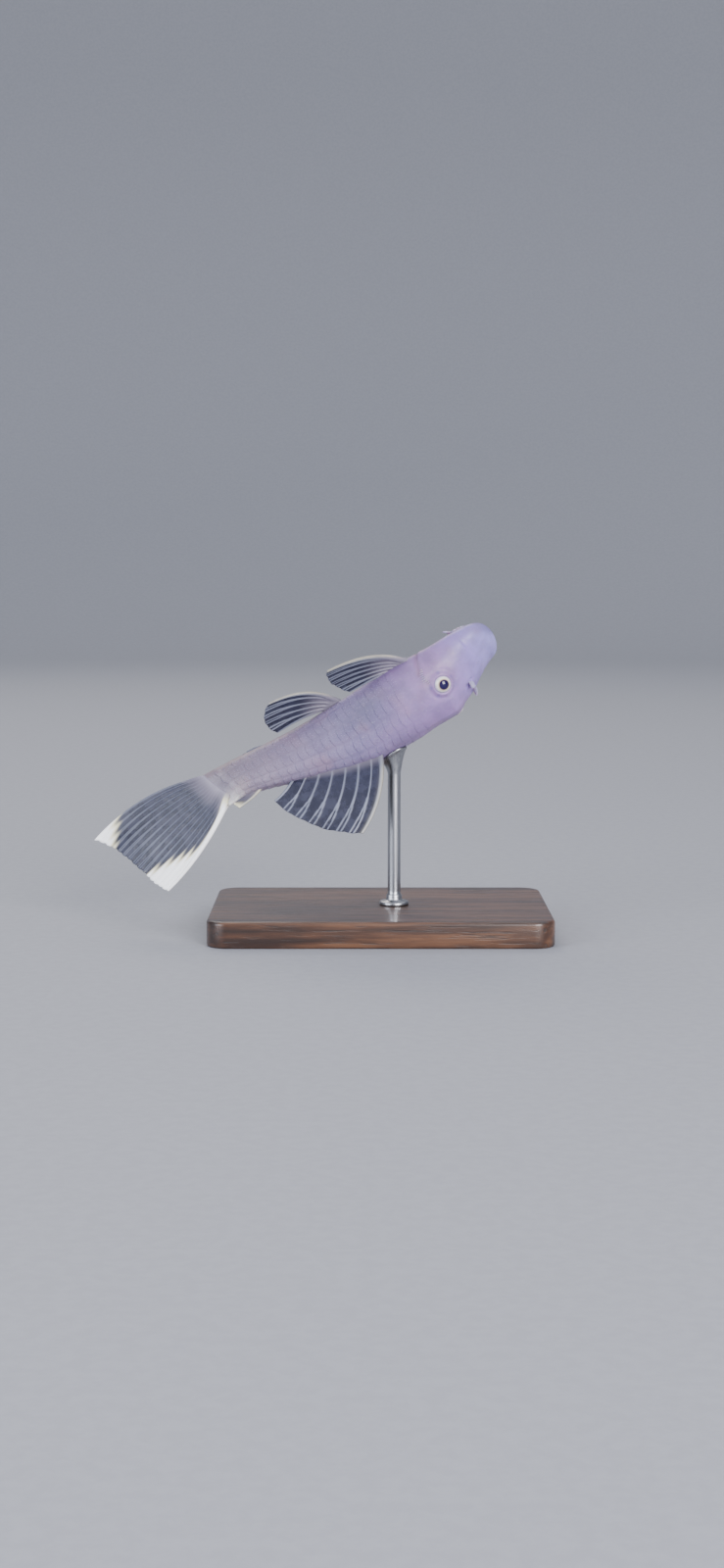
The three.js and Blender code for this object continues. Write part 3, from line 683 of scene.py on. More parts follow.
def skin_finish():
    """Pale lavender skin: hue along the body, pinker cheek, faint mottling and fine pores, with a soft
    wet gloss. Painted shade darkens it away from the back, makes the belly side darker and browner, and
    lies as a darker bluish patch on the upper flank."""
    f = Finish("pleco_skin")
    coat = f.ramp(f.value("along"), [
        (0.0, 160, 156, 222),
        (0.1, 155, 138, 208),
        (0.2, 156, 127, 187),
        (0.33, 150, 124, 177),
        (0.55, 132, 121, 160),
        (0.8, 134, 122, 144),
        (0.93, 142, 131, 140),
        (0.98, 168, 163, 174),
    ])
    for part, share, colour in (
        # painted shade: the belly side is made darker and browner
        (f.value("under"), 0.6, srgb(150, 131, 134)),
        # painted shade: a darker bluish-grey patch on the upper flank
        (f.value("flank_shade"), 0.66, srgb(88, 92, 122)),
        (f.value("pale"), 0.8, srgb(232, 230, 218)),
        (f.value("blush"), 0.42, srgb(160, 108, 128)),
        (f.clouds(0.35, 0.68, 260, 3.0, 0.55), 0.3, srgb(94, 86, 122)),
        (f.clouds(0.5, 0.75, 140), 0.28, srgb(154, 118, 132)),
        (f.clouds(0.52, 0.72, 1500, 2.0, 0.6), 0.2, srgb(164, 158, 182)),
        (f.value("seam"), 0.09, srgb(78, 68, 100)),
        (f.value("slit"), 0.36, srgb(116, 70, 82)),
        (f.value("fleck"), 0.5, srgb(92, 86, 150)),
    ):
        coat = f.mix(part * share, coat, colour)
    # painted shade: the skin is darkened away from the back
    coat = f.mix((1 - f.value("over")) * 0.9, coat, srgb(198, 195, 199), "MULTIPLY")
    pores = f.noise(3200, 2.0, 0.6) * 0.5 + f.cells(2600) * 0.5
    lumps = f.noise(520, 3.0) * 2.4
    return f.done(
        base_color=coat,
        roughness=f.uneven(0.4, 0.56, 900),
        normal=f.relief(pores + lumps, 0.00005, 0.6),
        subsurface_weight=0.22,
        subsurface_radius=(1.0, 0.45, 0.5),
        subsurface_scale=0.0016,
        coat_weight=0.12,
        coat_roughness=0.26,
        specular_ior_level=0.42,
    )


def lip_finish():
    """Soft skin of the mouth: pink-grey lips with pale warts, redder inside, where it is also darkened
    as painted shade.
    """
    f = Finish("pleco_lips")
    soft = f.mix(f.clouds(0.35, 0.7, 500), srgb(130, 130, 166), srgb(144, 122, 148))
    soft = f.mix(f.value("wart") * 0.6, soft, srgb(176, 172, 196))
    # the mouth's hollow: red of its lining, darkened as painted shade
    soft = f.mix(f.value("inside"), soft, srgb(66, 22, 32))
    return f.done(
        base_color=soft,
        roughness=f.uneven(0.28, 0.42, 1200),
        normal=f.relief(f.noise(3000), 0.00004, 0.4),
        subsurface_weight=0.25,
        subsurface_radius=(1.0, 0.4, 0.45),
        subsurface_scale=0.0015,
        coat_weight=0.3,
        coat_roughness=0.2,
    )


def spine_finish():
    """Tiny enamel-like spines, pale ivory."""
    f = Finish("pleco_spines")
    ivory = f.mix(f.clouds(0.35, 0.65, 900, 1.0), srgb(146, 138, 174), srgb(156, 144, 164))
    return f.done(base_color=ivory, roughness=0.32, coat_weight=0.3, coat_roughness=0.15)


def eye_finish():
    """Eye: a dark blue pupil, a cream iris with fine spokes, and a violet ring at the rim."""
    f = Finish("pleco_eye")
    off = f.value("off_axis")
    ring = f.ramp(off, [
        (0.0, 16, 8, 62),
        (0.235, 24, 10, 60),
        (0.275, 140, 118, 100),
        (0.31, 214, 204, 190),
        (0.38, 226, 224, 216),
        (0.46, 190, 184, 206),
        (0.53, 126, 114, 166),
        (1.0, 110, 100, 144),
    ])
    ring = f.mix(f.value("spoke") * f.span(off, 0.27, 0.33) * 0.4, ring, srgb(156, 142, 138))
    return f.done(
        base_color=ring,
        roughness=f.span(off, 0.2, 0.5, 0.12, 0.3),
        coat_weight=0.5,
        coat_roughness=0.03,
        specular_ior_level=0.3,
    )


def fin_finish():
    """Fin: a smoky translucent membrane, darker in patches, with pale rays; its white parts turn
    from cream at their borders to pure white."""
    f = Finish("pleco_fin")
    ray, white, root, joints = (f.value(key) for key in ("ray", "white", "fleshy", "joint"))
    web = f.mix(f.clouds(0.35, 0.68, 420, 3.0), srgb(32, 34, 52), srgb(52, 54, 72))
    web = f.mix(f.value("smoke") * 0.7, web, srgb(22, 25, 54))
    bone = f.mix(joints * 0.16, srgb(140, 146, 164), srgb(112, 116, 136))
    tint = f.mix(ray, web, bone)
    tint = f.mix(root, tint, srgb(130, 124, 139))
    cream = f.mix(f.clouds(0.4, 0.7, 700), srgb(222, 214, 180), srgb(206, 202, 172))
    tint = f.mix(f.span(white, 0.0, 0.5), tint, cream)
    tint = f.mix(f.span(white, 0.35, 0.95), tint, srgb(254, 255, 255))
    veins = f.noise(1800) * 0.5 + joints * 0.3
    solid = 1 - (1 - ray * 0.75) * (1 - white) * (1 - root)
    return f.done(
        base_color=tint,
        roughness=f.uneven(0.3, 0.46, 800),
        alpha=0.85 + solid * 0.15,
        normal=f.relief(veins, 0.00004, 0.15),
        coat_weight=0.1,
        coat_roughness=0.2,
        specular_ior_level=0.35,
    )


def wood_finish():
    """Dark stained hardwood: long grain in streaks, open pores and a satin varnish."""
    f = Finish("stand_wood")
    streaks = f.noise(60, 6.0, 0.62, f.stretched((0.5, 7.0, 7.0)))
    figure = f.noise(28, 3.0, 0.5, f.stretched((0.6, 3.0, 3.0)))
    grain = f.span(streaks * 0.65 + figure * 0.35, 0.36, 0.64)
    stain = f.ramp(grain, [(0.0, 38, 24, 17), (0.45, 66, 42, 28), (1.0, 98, 66, 44)])
    pores = f.clouds(0.56, 0.66, 420, 3.0, 0.7, f.stretched((0.16, 3.2, 3.2)))
    stain = f.mix(pores * 0.7, stain, srgb(22, 14, 10))
    return f.done(
        base_color=stain,
        roughness=0.34 + pores * 0.25,
        normal=f.relief(1 - pores, 0.00008, 0.6),
        coat_weight=0.35,
        coat_roughness=0.18,
    )


def steel_finish():
    """Brushed steel: fine lines along the rod, bright and slightly uneven."""
    f = Finish("stand_steel")
    lines = f.noise(700, 4.0, 0.7, f.stretched((6.0, 6.0, 0.06)))
    steel = f.mix(f.span(lines, 0.3, 0.7), srgb(150, 152, 157), srgb(176, 178, 181))
    return f.done(
        base_color=steel,
        metallic=1.0,
        roughness=f.span(lines, 0.3, 0.7, 0.26, 0.38),
        normal=f.relief(lines, 0.000008, 0.2),
    )


def floor_finish():
    """Matt pale studio floor with a barely seen grain."""
    f = Finish("studio_floor")
    grain = f.noise(420, 4.0, 0.6)
    pale = f.mix(f.span(grain, 0.35, 0.65), srgb(142, 144, 151), srgb(146, 148, 155))
    return f.done(base_color=pale, roughness=0.72, normal=f.relief(grain, 0.00006, 0.3))


SKIN = skin_finish()
LIP = lip_finish()
SPINE = spine_finish()
EYE_GLOSS = eye_finish()
FIN = fin_finish()
WOOD = wood_finish()
STEEL = steel_finish()


# Body: one skin over head, trunk and tail. Its mesh has a ring at each gap along the head and at set
# shares of each plate, and a number of columns on each row of plates and on half the belly
RING_GAP = 0.19
PLATE_RINGS = np.array([0, 0.06, 0.17, 0.3, 0.44, 0.58, 0.72, 0.84, 0.93, 0.985])
ROW_COLUMNS = 16
BELLY_COLUMNS = 22


def eye_flecks(left):
    """Share of the dark flecks round the eye at points of the left side: small bells round places
    given in the plane that the eye faces."""
    forward = unit(np.array([1, 0, 0]) - eye_axis[0] * eye_axis)
    backward = np.cross(eye_axis, forward)
    offset = left - eye_middle
    total = 0
    for ahead, over in EYE_FLECKS:
        away = np.hypot(offset @ forward - ahead, offset @ backward - over)
        total = total + bump(0, FLECK_SIZE, away)
    return np.clip(total, 0, 1)


def skin_rings():
    """Distances behind the snout of the skin's rings: close at the nose, even on the head, then the
    same set of steps for every plate, and a rounded end."""
    nose = NOSE_ROUND * (1 - np.cos(np.linspace(0.08, math.pi / 2, 15)))
    head = np.arange(NOSE_ROUND + RING_GAP, SCUTES_FROM - 0.05, RING_GAP)
    plates = SCUTES_FROM + (np.arange(SCUTES)[:, None] + PLATE_RINGS) * SCUTE_PITCH
    stern = TAIL_TIP - TAIL_ROUND + TAIL_ROUND * np.sin(np.linspace(0, 1.54, 15)[1:])
    ring = np.concatenate([nose, head, plates.ravel(), [TAIL_END - 0.7], stern])
    return np.sort(ring)


def skin_columns():
    """Turns of the skin's columns: even across the plates, closer towards the belly's midline."""
    plated = np.linspace(math.pi / 2, BELLY_EDGE, SCUTE_ROWS * ROW_COLUMNS + 1)
    inward = np.linspace(1, 0, BELLY_COLUMNS + 1)[1:] ** 1.45
    naked = -math.pi / 2 + (BELLY_EDGE + math.pi / 2) * inward
    left = np.concatenate([plated, naked])
    return np.concatenate([left, math.pi - left[1:-1][::-1]])


def make_skin():
    """The body's skin, with values for its colours: how far along the body, under it and over its
    back each vertex is, which also place the painted shade of the belly side and of the side away from
    the back, and how much it shares of the patch of painted shade on the upper flank, the pale foot of
    the tail fin, the blush, the plates' seams, the gill slit and the flecks round the eye."""
    rings = skin_rings()[:, None]
    columns = skin_columns()[None, :]
    points = dressed_skin(rings, columns)
    along, across, plated = scute_place(rings, columns)[:3]
    turn = folded(columns) + 0 * rings
    # under also sets where the belly side is painted darker and browner as shade
    under = smooth(*UNDERSIDE, turn)
    # over sets where the skin away from the back is darkened as painted shade
    over = smooth(*BACKSIDE, turn)
    # painted shade: a darker patch on the upper flank
    flank_shade = bump(FLANK_SHADE["at"], FLANK_SHADE["length"], rings) * bump(FLANK_SHADE["turn"], FLANK_SHADE["spread"], turn)
    pale = smooth(*FOOT["along"], rings) * bump(FOOT["turn"], FOOT["spread"], turn)
    from_cheek = (to_left(points) - BLUSH["middle"]) / BLUSH["reach"]
    band = BAND["share"] * bump(BAND["forward"], BAND["width"], points[..., 0]) * under
    blush = np.maximum(np.exp(-(from_cheek**2).sum(axis=-1)), band)
    row_seam = bump(0, SEAM["row"], np.minimum(across, 1 - across))
    plate_seam = bump(0, SEAM["plate"], np.minimum(along, 1 - along))
    seam = plated * np.maximum(row_seam, plate_seam)
    head = points[:, :, 0] > -SCUTES_FROM
    left = to_left(points[head])
    slit, fleck = np.zeros(seam.shape), np.zeros(seam.shape)
    slit[head] = bump(0, SLIT_WIDTH, distance_to_line(left, gill_line()))
    fleck[head] = eye_flecks(left)
    start = placed(0, 0, points[0, :, 2].mean())
    end = placed(TAIL_END + 0.6, 0, points[-1, :, 2].mean())
    values = {
        "along": (rings + 0 * columns) / TAIL_END, "under": under, "over": over, "flank_shade": flank_shade,
        "pale": pale, "blush": blush, "seam": seam, "slit": slit, "fleck": fleck,
    }
    values = {
        key: with_ends(layer, layer[0].mean(), layer[-1].mean()) for key, layer in values.items()
    }
    shell = closed_tube(points, start, end)
    skin = new_piece("body_skin", shell, posed, SKIN, "skin", values)
    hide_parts("head", "trunk", "tail")


def plate_spots(across, along):
    """Spots on every plate, as rows of the plate's number and row and the spot's shares of its width
    and length."""
    numbers = np.meshgrid(np.arange(SCUTES), np.arange(SCUTE_ROWS), across, along, indexing="ij")
    return np.stack(numbers, axis=-1).reshape(-1, 4)


def make_odontodes():
    """Tiny spines on the plates: a comb along each hind edge and a few on each plate's face."""
    spots = np.concatenate([plate_spots(**COMB), plate_spots(**FACE)])
    spots[:, 2] += chance.uniform(*SHIFTS["across"], len(spots))
    spots[:, 3] += chance.uniform(*SHIFTS["along"], len(spots))
    at = SCUTES_FROM + (spots[:, 0] + spots[:, 3]) * SCUTE_PITCH
    turn = math.pi / 2 + (BELLY_EDGE - math.pi / 2) * (spots[:, 1] + spots[:, 2]) / SCUTE_ROWS
    at = np.concatenate([at, at])
    turn = np.concatenate([turn, math.pi - turn])
    keep = chance.uniform(0, 1, len(at)) < PLATE_SPINE["kept"]
    at, turn = at[keep], turn[keep]
    roots = plated_skin(at, turn)
    out = normals_of(bare_skin, at, turn)
    rear = unit(bare_skin(at + 0.3, turn) - bare_skin(at, turn))
    lengths = chance.uniform(*PLATE_SPINE["lengths"], len(at))
    roots = roots - PLATE_SPINE["sunk"] * out
    spines = small_spines(roots, unit(rear + 0.5 * out), lengths, PLATE_SPINE["radius"])
    new_piece("plate_spines", spines, posed, SPINE, "skin")


def make_cheek_spines():
    """Hooked spines of the gill cover: each one rises from the skin and bends back."""
    parts = []
    for side in (1, -1):
        for share in np.linspace(-0.5, 0.5, CHEEK_SPINE["count"]):
            at = CHEEK["at"] + CHEEK["bow"] * math.cos(share * math.pi) + chance.uniform(-0.12, 0.12)
            at, turn = np.array(at), np.array(CHEEK["turn"] + share * CHEEK["spread"])
            out = normals_of(bare_skin, at, turn)
            foot = bare_skin(at, turn)
            long = CHEEK_SPINE["length"] * (1 - 2 * share * share) * chance.uniform(0.85, 1.05)
            bend = foot + 0.32 * long * out
            tip = foot + 0.34 * long * out + [-0.85 * long, 0, 0]
            path = bezier([foot - CHEEK_SPINE["sunk"] * out, bend, tip], np.linspace(0, 1, 9))
            radii = CHEEK_SPINE["radius"] * (1 - np.linspace(0, 0.97, 9) ** 1.3)
            parts.append(swept(path * [1, side, 1], radii, 8))
    new_piece("cheek_spines", joined(parts), posed, SPINE, "skin")


def make_lips():
    """Sucker of lips: an oval disc turned from one profile, its face covered with small warts that
    stand in rings, and the mouth sunk in its middle inside a low ridge."""
    turn = round_turns(192)
    bend = np.linspace(0, 1.5, 7)[1:]
    brim = np.stack([1 - 0.1 * (1 - np.cos(bend)), 0.4 + 0.52 * np.sin(bend)], axis=-1)
    face = np.linspace(0.88, 0.02, 54)
    dish = 0.6 + 0.32 * smooth(0.55, 0.9, face) + 0.2 * bump(0.42, 0.1, face)
    dish -= MOUTH["depth"] * (1 - smooth(0.08, MOUTH["share"], face))
    profile = np.concatenate([LIP_PROFILE, brim, np.stack([face, dish], axis=-1)])
    out = profile[:, :1]
    proud = profile[:, 1:] + 0 * turn
    on_face = smooth(0.3, 0.45, out) * (1 - smooth(0.9, 0.98, out)) * (proud > 0.2)
    dots = np.cos(out * TURN * WARTS["rings"]) * np.cos(turn * np.round(10 + 26 * out) + out * 40)
    wart = np.clip(dots, 0, 1) * on_face
    frill = 1 + FRILL["depth"] * np.cos(turn * FRILL["waves"]) * smooth(0.8, 1.0, out)
    stretch = 1 + 0.6 * np.abs(np.sin(turn)) * (1 - smooth(0.1, 0.6, out))
    x = -LIPS["at"] + LIPS["half_length"] * out * frill * np.cos(turn)
    y = LIPS["half_width"] * out * frill * stretch * np.sin(turn)
    z = -LIPS["proud"] * (proud + WARTS["height"] * wart)
    rings = np.stack([x, y, z], axis=-1)
    start = np.array([-LIPS["at"], 0, 0.8 * LIPS["proud"]])
    end = rings[-1].mean(axis=0)
    # inside: the mouth's hollow, painted dark red, its darkness painted shade
    inside = (1 - smooth(0.16, 0.34, out)) * (profile[:, 1:] < 0.75) * (np.arange(len(out))[:, None] > 8)
    values = {"wart": with_ends(wart), "inside": with_ends(inside + 0 * turn, 0, 1)}
    new_piece("lips", closed_tube(rings, start, end), posed, LIP, "skin", values)


def make_barbels():
    """Short soft barbels at the mouth's corners, tapered along a bent line."""
    parts = []
    for side in (1, -1):
        rear, aside, up = BARBEL_BEND.T
        ends = placed(BARBEL["at"] + rear, side * (BARBEL["left"] + aside), up)
        share = np.linspace(0, 1, 14)
        radii = BARBEL["radius"] * np.sqrt(1 - 0.985 * share**2) * (1 - 0.35 * share)
        parts.append(swept(bezier(ends, share), radii, 16))
    barbels = joined(parts)
    none = np.zeros(len(barbels[0]))
    new_piece("barbels", barbels, posed, LIP, "skin", {"wart": none, "inside": none})


def make_nostril_flaps():
    """Flap of each nostril: a thin leaf that rises from the skin, narrows to a round top and curls
    back; its thickness fades towards the rim."""
    at = np.array(NOSTRIL["at"])
    out = normals_of(bare_skin, at, turn_at_left(at, NOSTRIL["left"]))
    rise = np.linspace(-0.2, 1, 14)
    width = FLAP["width"] / 2 * np.sqrt(np.clip(1 - np.clip(rise, 0, 1) ** 2.4, 0.004, 1))
    middle = nostril_spot(0) + rise[:, None] * FLAP["height"] * (out + [-FLAP["lean"], 0, 0])
    middle[:, 0] -= FLAP["curl"] * rise**2
    thick = 0.16 - 0.07 * np.clip(rise, 0, 1)
    turn = round_turns(28)[:, None]
    aside = np.cos(turn) * unit(np.array([-FLAP["twist"], 1, 0])) * width[:, None, None]
    deep = np.sin(turn) * [1, 0, 0.2] * thick[:, None, None]
    cupped = np.cos(turn) ** 2 * [FLAP["cup"], 0, 0]
    rings = middle[:, None] + aside + deep + cupped
    points, quads, triangles = closed_tube(rings, rings[0].mean(axis=0), rings[-1].mean(axis=0))
    parts = []
    for side in (1, -1):
        parts.append((points * [1, side, 1], quads[:, ::side], triangles[:, ::side]))
    flaps = joined(parts)
    none = np.zeros(len(flaps[0]))
    new_piece("nostril_flaps", flaps, posed, LIP, "skin", {"wart": none + 1, "inside": none})


def make_eye(side, name, node):
    """Eyeball: a ball whose rings run round the axis that looks out of the head, with values for the
    distance off that axis and for the spokes of the iris."""
    axis = eye_axis * [1, side, 1]
    middle = eye_middle * [1, side, 1]
    aside = unit(np.cross(axis, [0, 0, 1]))
    off = np.linspace(0.02, math.pi - 0.02, 72)[:, None]
    turn = round_turns(72)[None, :]
    radius = EYE["radius"] * (1 + EYE["bulge"] * bump(0, 0.5, off))[..., None]
    rings = middle + radius * circle(off, axis, circle(turn, aside, np.cross(axis, aside)))
    start = middle + EYE["radius"] * (1 + EYE["bulge"]) * axis
    end = middle - EYE["radius"] * axis
    spoke = 0.5 + 0.5 * np.cos(turn * IRIS_SPOKES + 2.2 * np.sin(turn * 3)) + 0 * off
    values = {"off_axis": with_ends(off / IRIS_TURN + 0 * turn, 0, 1), "spoke": with_ends(spoke)}
    eye = new_piece(name, closed_tube(rings, start, end), posed, EYE_GLOSS, "eye", values)
    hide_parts(node)


# Fins: root and margin lines as (at, left, up), and the bow of the leading and the last ray as
# (forward, left, up). Half thicknesses are those of the leading ray, the other rays and the fleshy
# root, and wide is half the width of a ray. The fork is how far the two branches of a ray part from
# its line, in spaces between rays. Skin covers a share of the fin's length from the root on, its rays
# are pale to a share, and its membrane is darkest at smoke_at, a share of its length. The tail fin
# has dark places of its own
FINS = {
    "dorsal_fin": {
        "rays": 8,
        "root": [[35.2, 0, 13.4], [45.5, 0, 12.6], [56.2, 0, 9.6]],
        "margin": [[48.4, 0, 30.2], [53.6, 0, 27.6], [60.4, 0, 21.6], [62.6, 0, 13.2]],
        "bow": [[3.0, 0, 3.0], [0.2, 0, 0.9]],
        "leading": 0.5, "ray": 0.24, "wide": 0.25, "fleshy": 0.7, "ripple": 0.3, "fork": 0.17,
        "skin_share": 0.2, "pale_rays": 1.0, "smoke_at": 0.22,
    },
    "adipose_fin": {
        "rays": 2,
        "root": [[62.6, 0, 8.3], [66, 0, 7.7], [70.6, 0, 7.5]],
        "margin": [[70.4, 0, 11.0], [70.8, 0, 10.2], [71.1, 0, 9.4]],
        "bow": [[1.6, 0, 0.9], [0, 0, 0]],
        "leading": 0.45, "ray": 0.2, "wide": 0.2, "fleshy": 0.5, "ripple": 0.0, "fork": 0.0,
        "skin_share": 0.95, "pale_rays": 1.0, "smoke_at": 0.5,
    },
    "anal_fin": {
        "rays": 5,
        "root": [[53.4, 0, 0.8], [55.4, 0, 0.8], [57.6, 0, 0.7]],
        "margin": [[61.4, -1.4, -1.9], [63.2, -1.4, -1.9], [64.6, -1.1, -1.3]],
        "bow": [[0.2, -0.2, -0.6], [0, 0, -0.2]],
        "leading": 0.4, "ray": 0.22, "wide": 0.2, "fleshy": 0.5, "ripple": 0.1, "fork": 0.15,
        "skin_share": 0.34, "pale_rays": 0.8, "smoke_at": 0.5,
    },
    "caudal_fin": {
        "rays": 16,
        "root": [[70.6, 0, 7.4], [72.2, 0, 4.2], [73.9, 0, -0.4]],
        "margin": [[94.2, 0, 18.8], [98.2, 0, 13.4], [98.2, 0, 4.5], [105.2, 0, -3.6]],
        "bow": [[0, 0, 3.6], [0, 0, -6.0]],
        "leading": 0.6, "ray": 0.2, "wide": 0.22, "fleshy": 1.3, "ripple": 0.35, "fork": 0.14,
        "skin_share": 0.24, "pale_rays": 0.54,
    },
    "pectoral_fin": {
        "rays": 7,
        "root": [[19.4, 8.8, 2.2], [21.2, 8.8, 2.1], [23.2, 8.4, 2.1]],
        "margin": [[36.9, 21.4, 0.2], [38.7, 18.3, 0.3], [37.8, 13.8, 1.3], [35.0, 10.9, 2.3]],
        "bow": [[3.6, 4.6, -1.2], [0, 0.9, 0]],
        "leading": 0.62, "ray": 0.26, "wide": 0.28, "fleshy": 0.9, "ripple": 0.2, "fork": 0.18,
        "skin_share": 0.68, "pale_rays": 0.8, "smoke_at": 0.66,
    },
    "pelvic_fin": {
        "rays": 6,
        "root": [[38.0, 6.2, 0.9], [39.6, 5.8, 0.8], [41.6, 5.2, 0.7]],
        "margin": [[52.2, 14.8, -2.6], [55.3, 12.6, -2.0], [56.6, 8.8, -0.5], [54.2, 5.7, 0.7]],
        "bow": [[3.6, 4.6, -1.4], [0, 0.6, -0.8]],
        "leading": 0.5, "ray": 0.24, "wide": 0.28, "fleshy": 0.7, "ripple": 0.2, "fork": 0.18,
        "skin_share": 0.6, "pale_rays": 0.9, "smoke_at": 0.62,
    },
}
# Half thickness of the membrane and of a fin's edges, what membrane and rays lose of it and rays of
# their width towards the margin, where rays fork and flesh ends as shares of the length, how far the
# margin is drawn in, and how close the joints of the rays are. The leading and the last ray are
# ridges of half widths of their own, at most EDGE_ROOM of the space between rays
WEB = 0.09
EDGE_HALF = 0.12
LEADING_WIDE = 1.1
LAST_HALF = 0.3
LAST_THICKER = 0.04
EDGE_ROOM = 0.9
WEB_TAPER = 0.45
RAY_TAPER = 0.6
RAY_NARROWING = 0.25
FORKING = (0.45, 0.95)
FLESH_END = 0.2
NOTCH = 0.007
JOINT_PITCH = 0.9

# White of the tail fin: the width of the stripe along the leading ray, what its foot and its end add
# to that, and how soft it is. Where the white of the upper lobe and the cream of the lower tip start,
# as shares of the length, how far that border slopes and bends outwards over the rays, how soft it
# is, how far its streaks go, and how white the tip is. Then the dark places of the tail fin, as
# middle and width over the rays and along them
STRIPE = {"width": 0.038, "foot": 0.1, "end": 0.06, "soft": 0.06}
LOBE = {"start": 0.47, "slope": 0.3, "bend": 2.8, "soft": 0.24, "streaks": 0.1}
TIP = {"start": 0.7, "slope": 1.15, "soft": 0.2, "streaks": 0.05, "white": 0.95}
DARK_PATCH = ((0.27, 0.09), (0.18, 0.13))
DARK_BAND = ((0.9, 0.06), (0.35, 0.22))

# Mesh of a fin: columns between two rays, how much closer they are at both edges, and rows
RAY_STEPS = 18
CROWDING = 0.35
FIN_ROWS = 84


def fin_point(fin, side, u, v):
    """Middle surface of a fin. A ray at share u starts on the root line and ends on the margin line;
    along v it is a bowed curve of three points: start, middle plus bow, end."""
    def line(key):
        points = np.array(fin[key], dtype=float)
        return bezier(placed(points[:, 0], side * points[:, 1], points[:, 2]), u)

    start, end = line("root"), line("margin")
    first, last = np.array(fin["bow"]) * [1, side, 1]
    bow = first + (last - first) * np.asarray(u)[..., None]
    middle = (start + end) / 2 + bow
    v = np.asarray(v)[..., None]
    return (1 - v) ** 2 * start + 2 * v * (1 - v) * middle + v**2 * end


def ridge(offset):
    """Height of a half-round ridge at an offset from its middle in half widths."""
    return np.sqrt(np.clip(1 - offset**2, 0, 1))


def fin_thickness(fin, u, v, wide):
    """Half thickness of a fin and how much of it is bone. Each ray is a half-round ridge that forks
    beyond its middle, the leading and the last ray round off the edges, and flesh covers the root."""
    gaps = fin["rays"] - 1
    spacing = wide / gaps
    thin = 1 - RAY_TAPER * v
    from_ray = np.abs(u * gaps - np.round(u * gaps))
    fork = fin["fork"] * smooth(*FORKING, v)
    inner = (u * gaps > 0.5) & (u * gaps < gaps - 0.5)
    ray_half = fin["wide"] * np.minimum(1 - RAY_NARROWING * v, spacing)
    ray = ridge((from_ray - fork) * spacing / ray_half) * inner
    lead_half = np.minimum(LEADING_WIDE * fin["leading"] * thin + EDGE_HALF, EDGE_ROOM * spacing)
    lead = ridge(u * wide / lead_half - 1)
    last_half = np.minimum(LAST_HALF * thin + EDGE_HALF, EDGE_ROOM * spacing)
    last = ridge((1 - u) * wide / last_half - 1)
    edge = np.sqrt(np.clip(np.minimum(u, 1 - u) * wide / EDGE_HALF, 0, 1))
    parts = [
        WEB * (1 - WEB_TAPER * v) * edge + fin["ray"] * thin * ray,
        fin["leading"] * thin * lead,
        (fin["ray"] + LAST_THICKER) * thin * last,
        fin["fleshy"] * (1 - smooth(0.0, FLESH_END, v)) * np.sqrt(edge),
    ]
    return np.max(parts, axis=0), np.max([ray, lead, last], axis=0)


def fin_white(name, u, v):
    """How white a fin is. The tail fin has a white leading ray that is widest at its foot, a white
    end to its upper lobe and a cream tip on its lower lobe, whose borders run in streaks along the
    rays. The adipose fin is pale round its edge, other fins only along the leading ray."""
    if name == "adipose_fin":
        return 0.4 * np.maximum(0.7 * bump(0, 0.2, u), bump(1, 0.22, v))
    if name != "caudal_fin":
        return 0.2 * bump(0, 0.05, u) * smooth(0.0, 0.3, v)
    streaks = 0.5 + 0.5 * np.cos(u * (FINS[name]["rays"] - 1) * TURN)
    border = STRIPE["width"] + STRIPE["foot"] * (1 - smooth(0.0, 0.3, v))
    border = border + STRIPE["end"] * smooth(0.45, 0.8, v)
    stripe = (1 - smooth(border, border + STRIPE["soft"], u)) * (0.12 + 0.88 * smooth(0.0, 0.15, v))
    into_lobe = v - LOBE["start"] - LOBE["slope"] * u - LOBE["bend"] * u**2
    lobe = smooth(0.0, LOBE["soft"], into_lobe + LOBE["streaks"] * streaks)
    into_tip = v - TIP["start"] - TIP["slope"] * (1 - u)
    tip = TIP["white"] * smooth(0.0, TIP["soft"], into_tip + TIP["streaks"] * streaks)
    return np.max([stripe, lobe, tip], axis=0)


def fin_smoke(name, u, v):
    """How dark the membrane is. The tail fin has a dark patch beside the foot of its leading ray and
    a dark band along its last ray; other fins are darkest at a share of their length."""
    if name != "caudal_fin":
        return 0.6 * bump(FINS[name]["smoke_at"], 0.25, v) * (1 - 0.4 * u)
    patch = bump(*DARK_PATCH[0], u) * bump(*DARK_PATCH[1], v)
    band = 0.8 * bump(*DARK_BAND[0], u) * bump(*DARK_BAND[1], v)
    return np.maximum(patch, band)


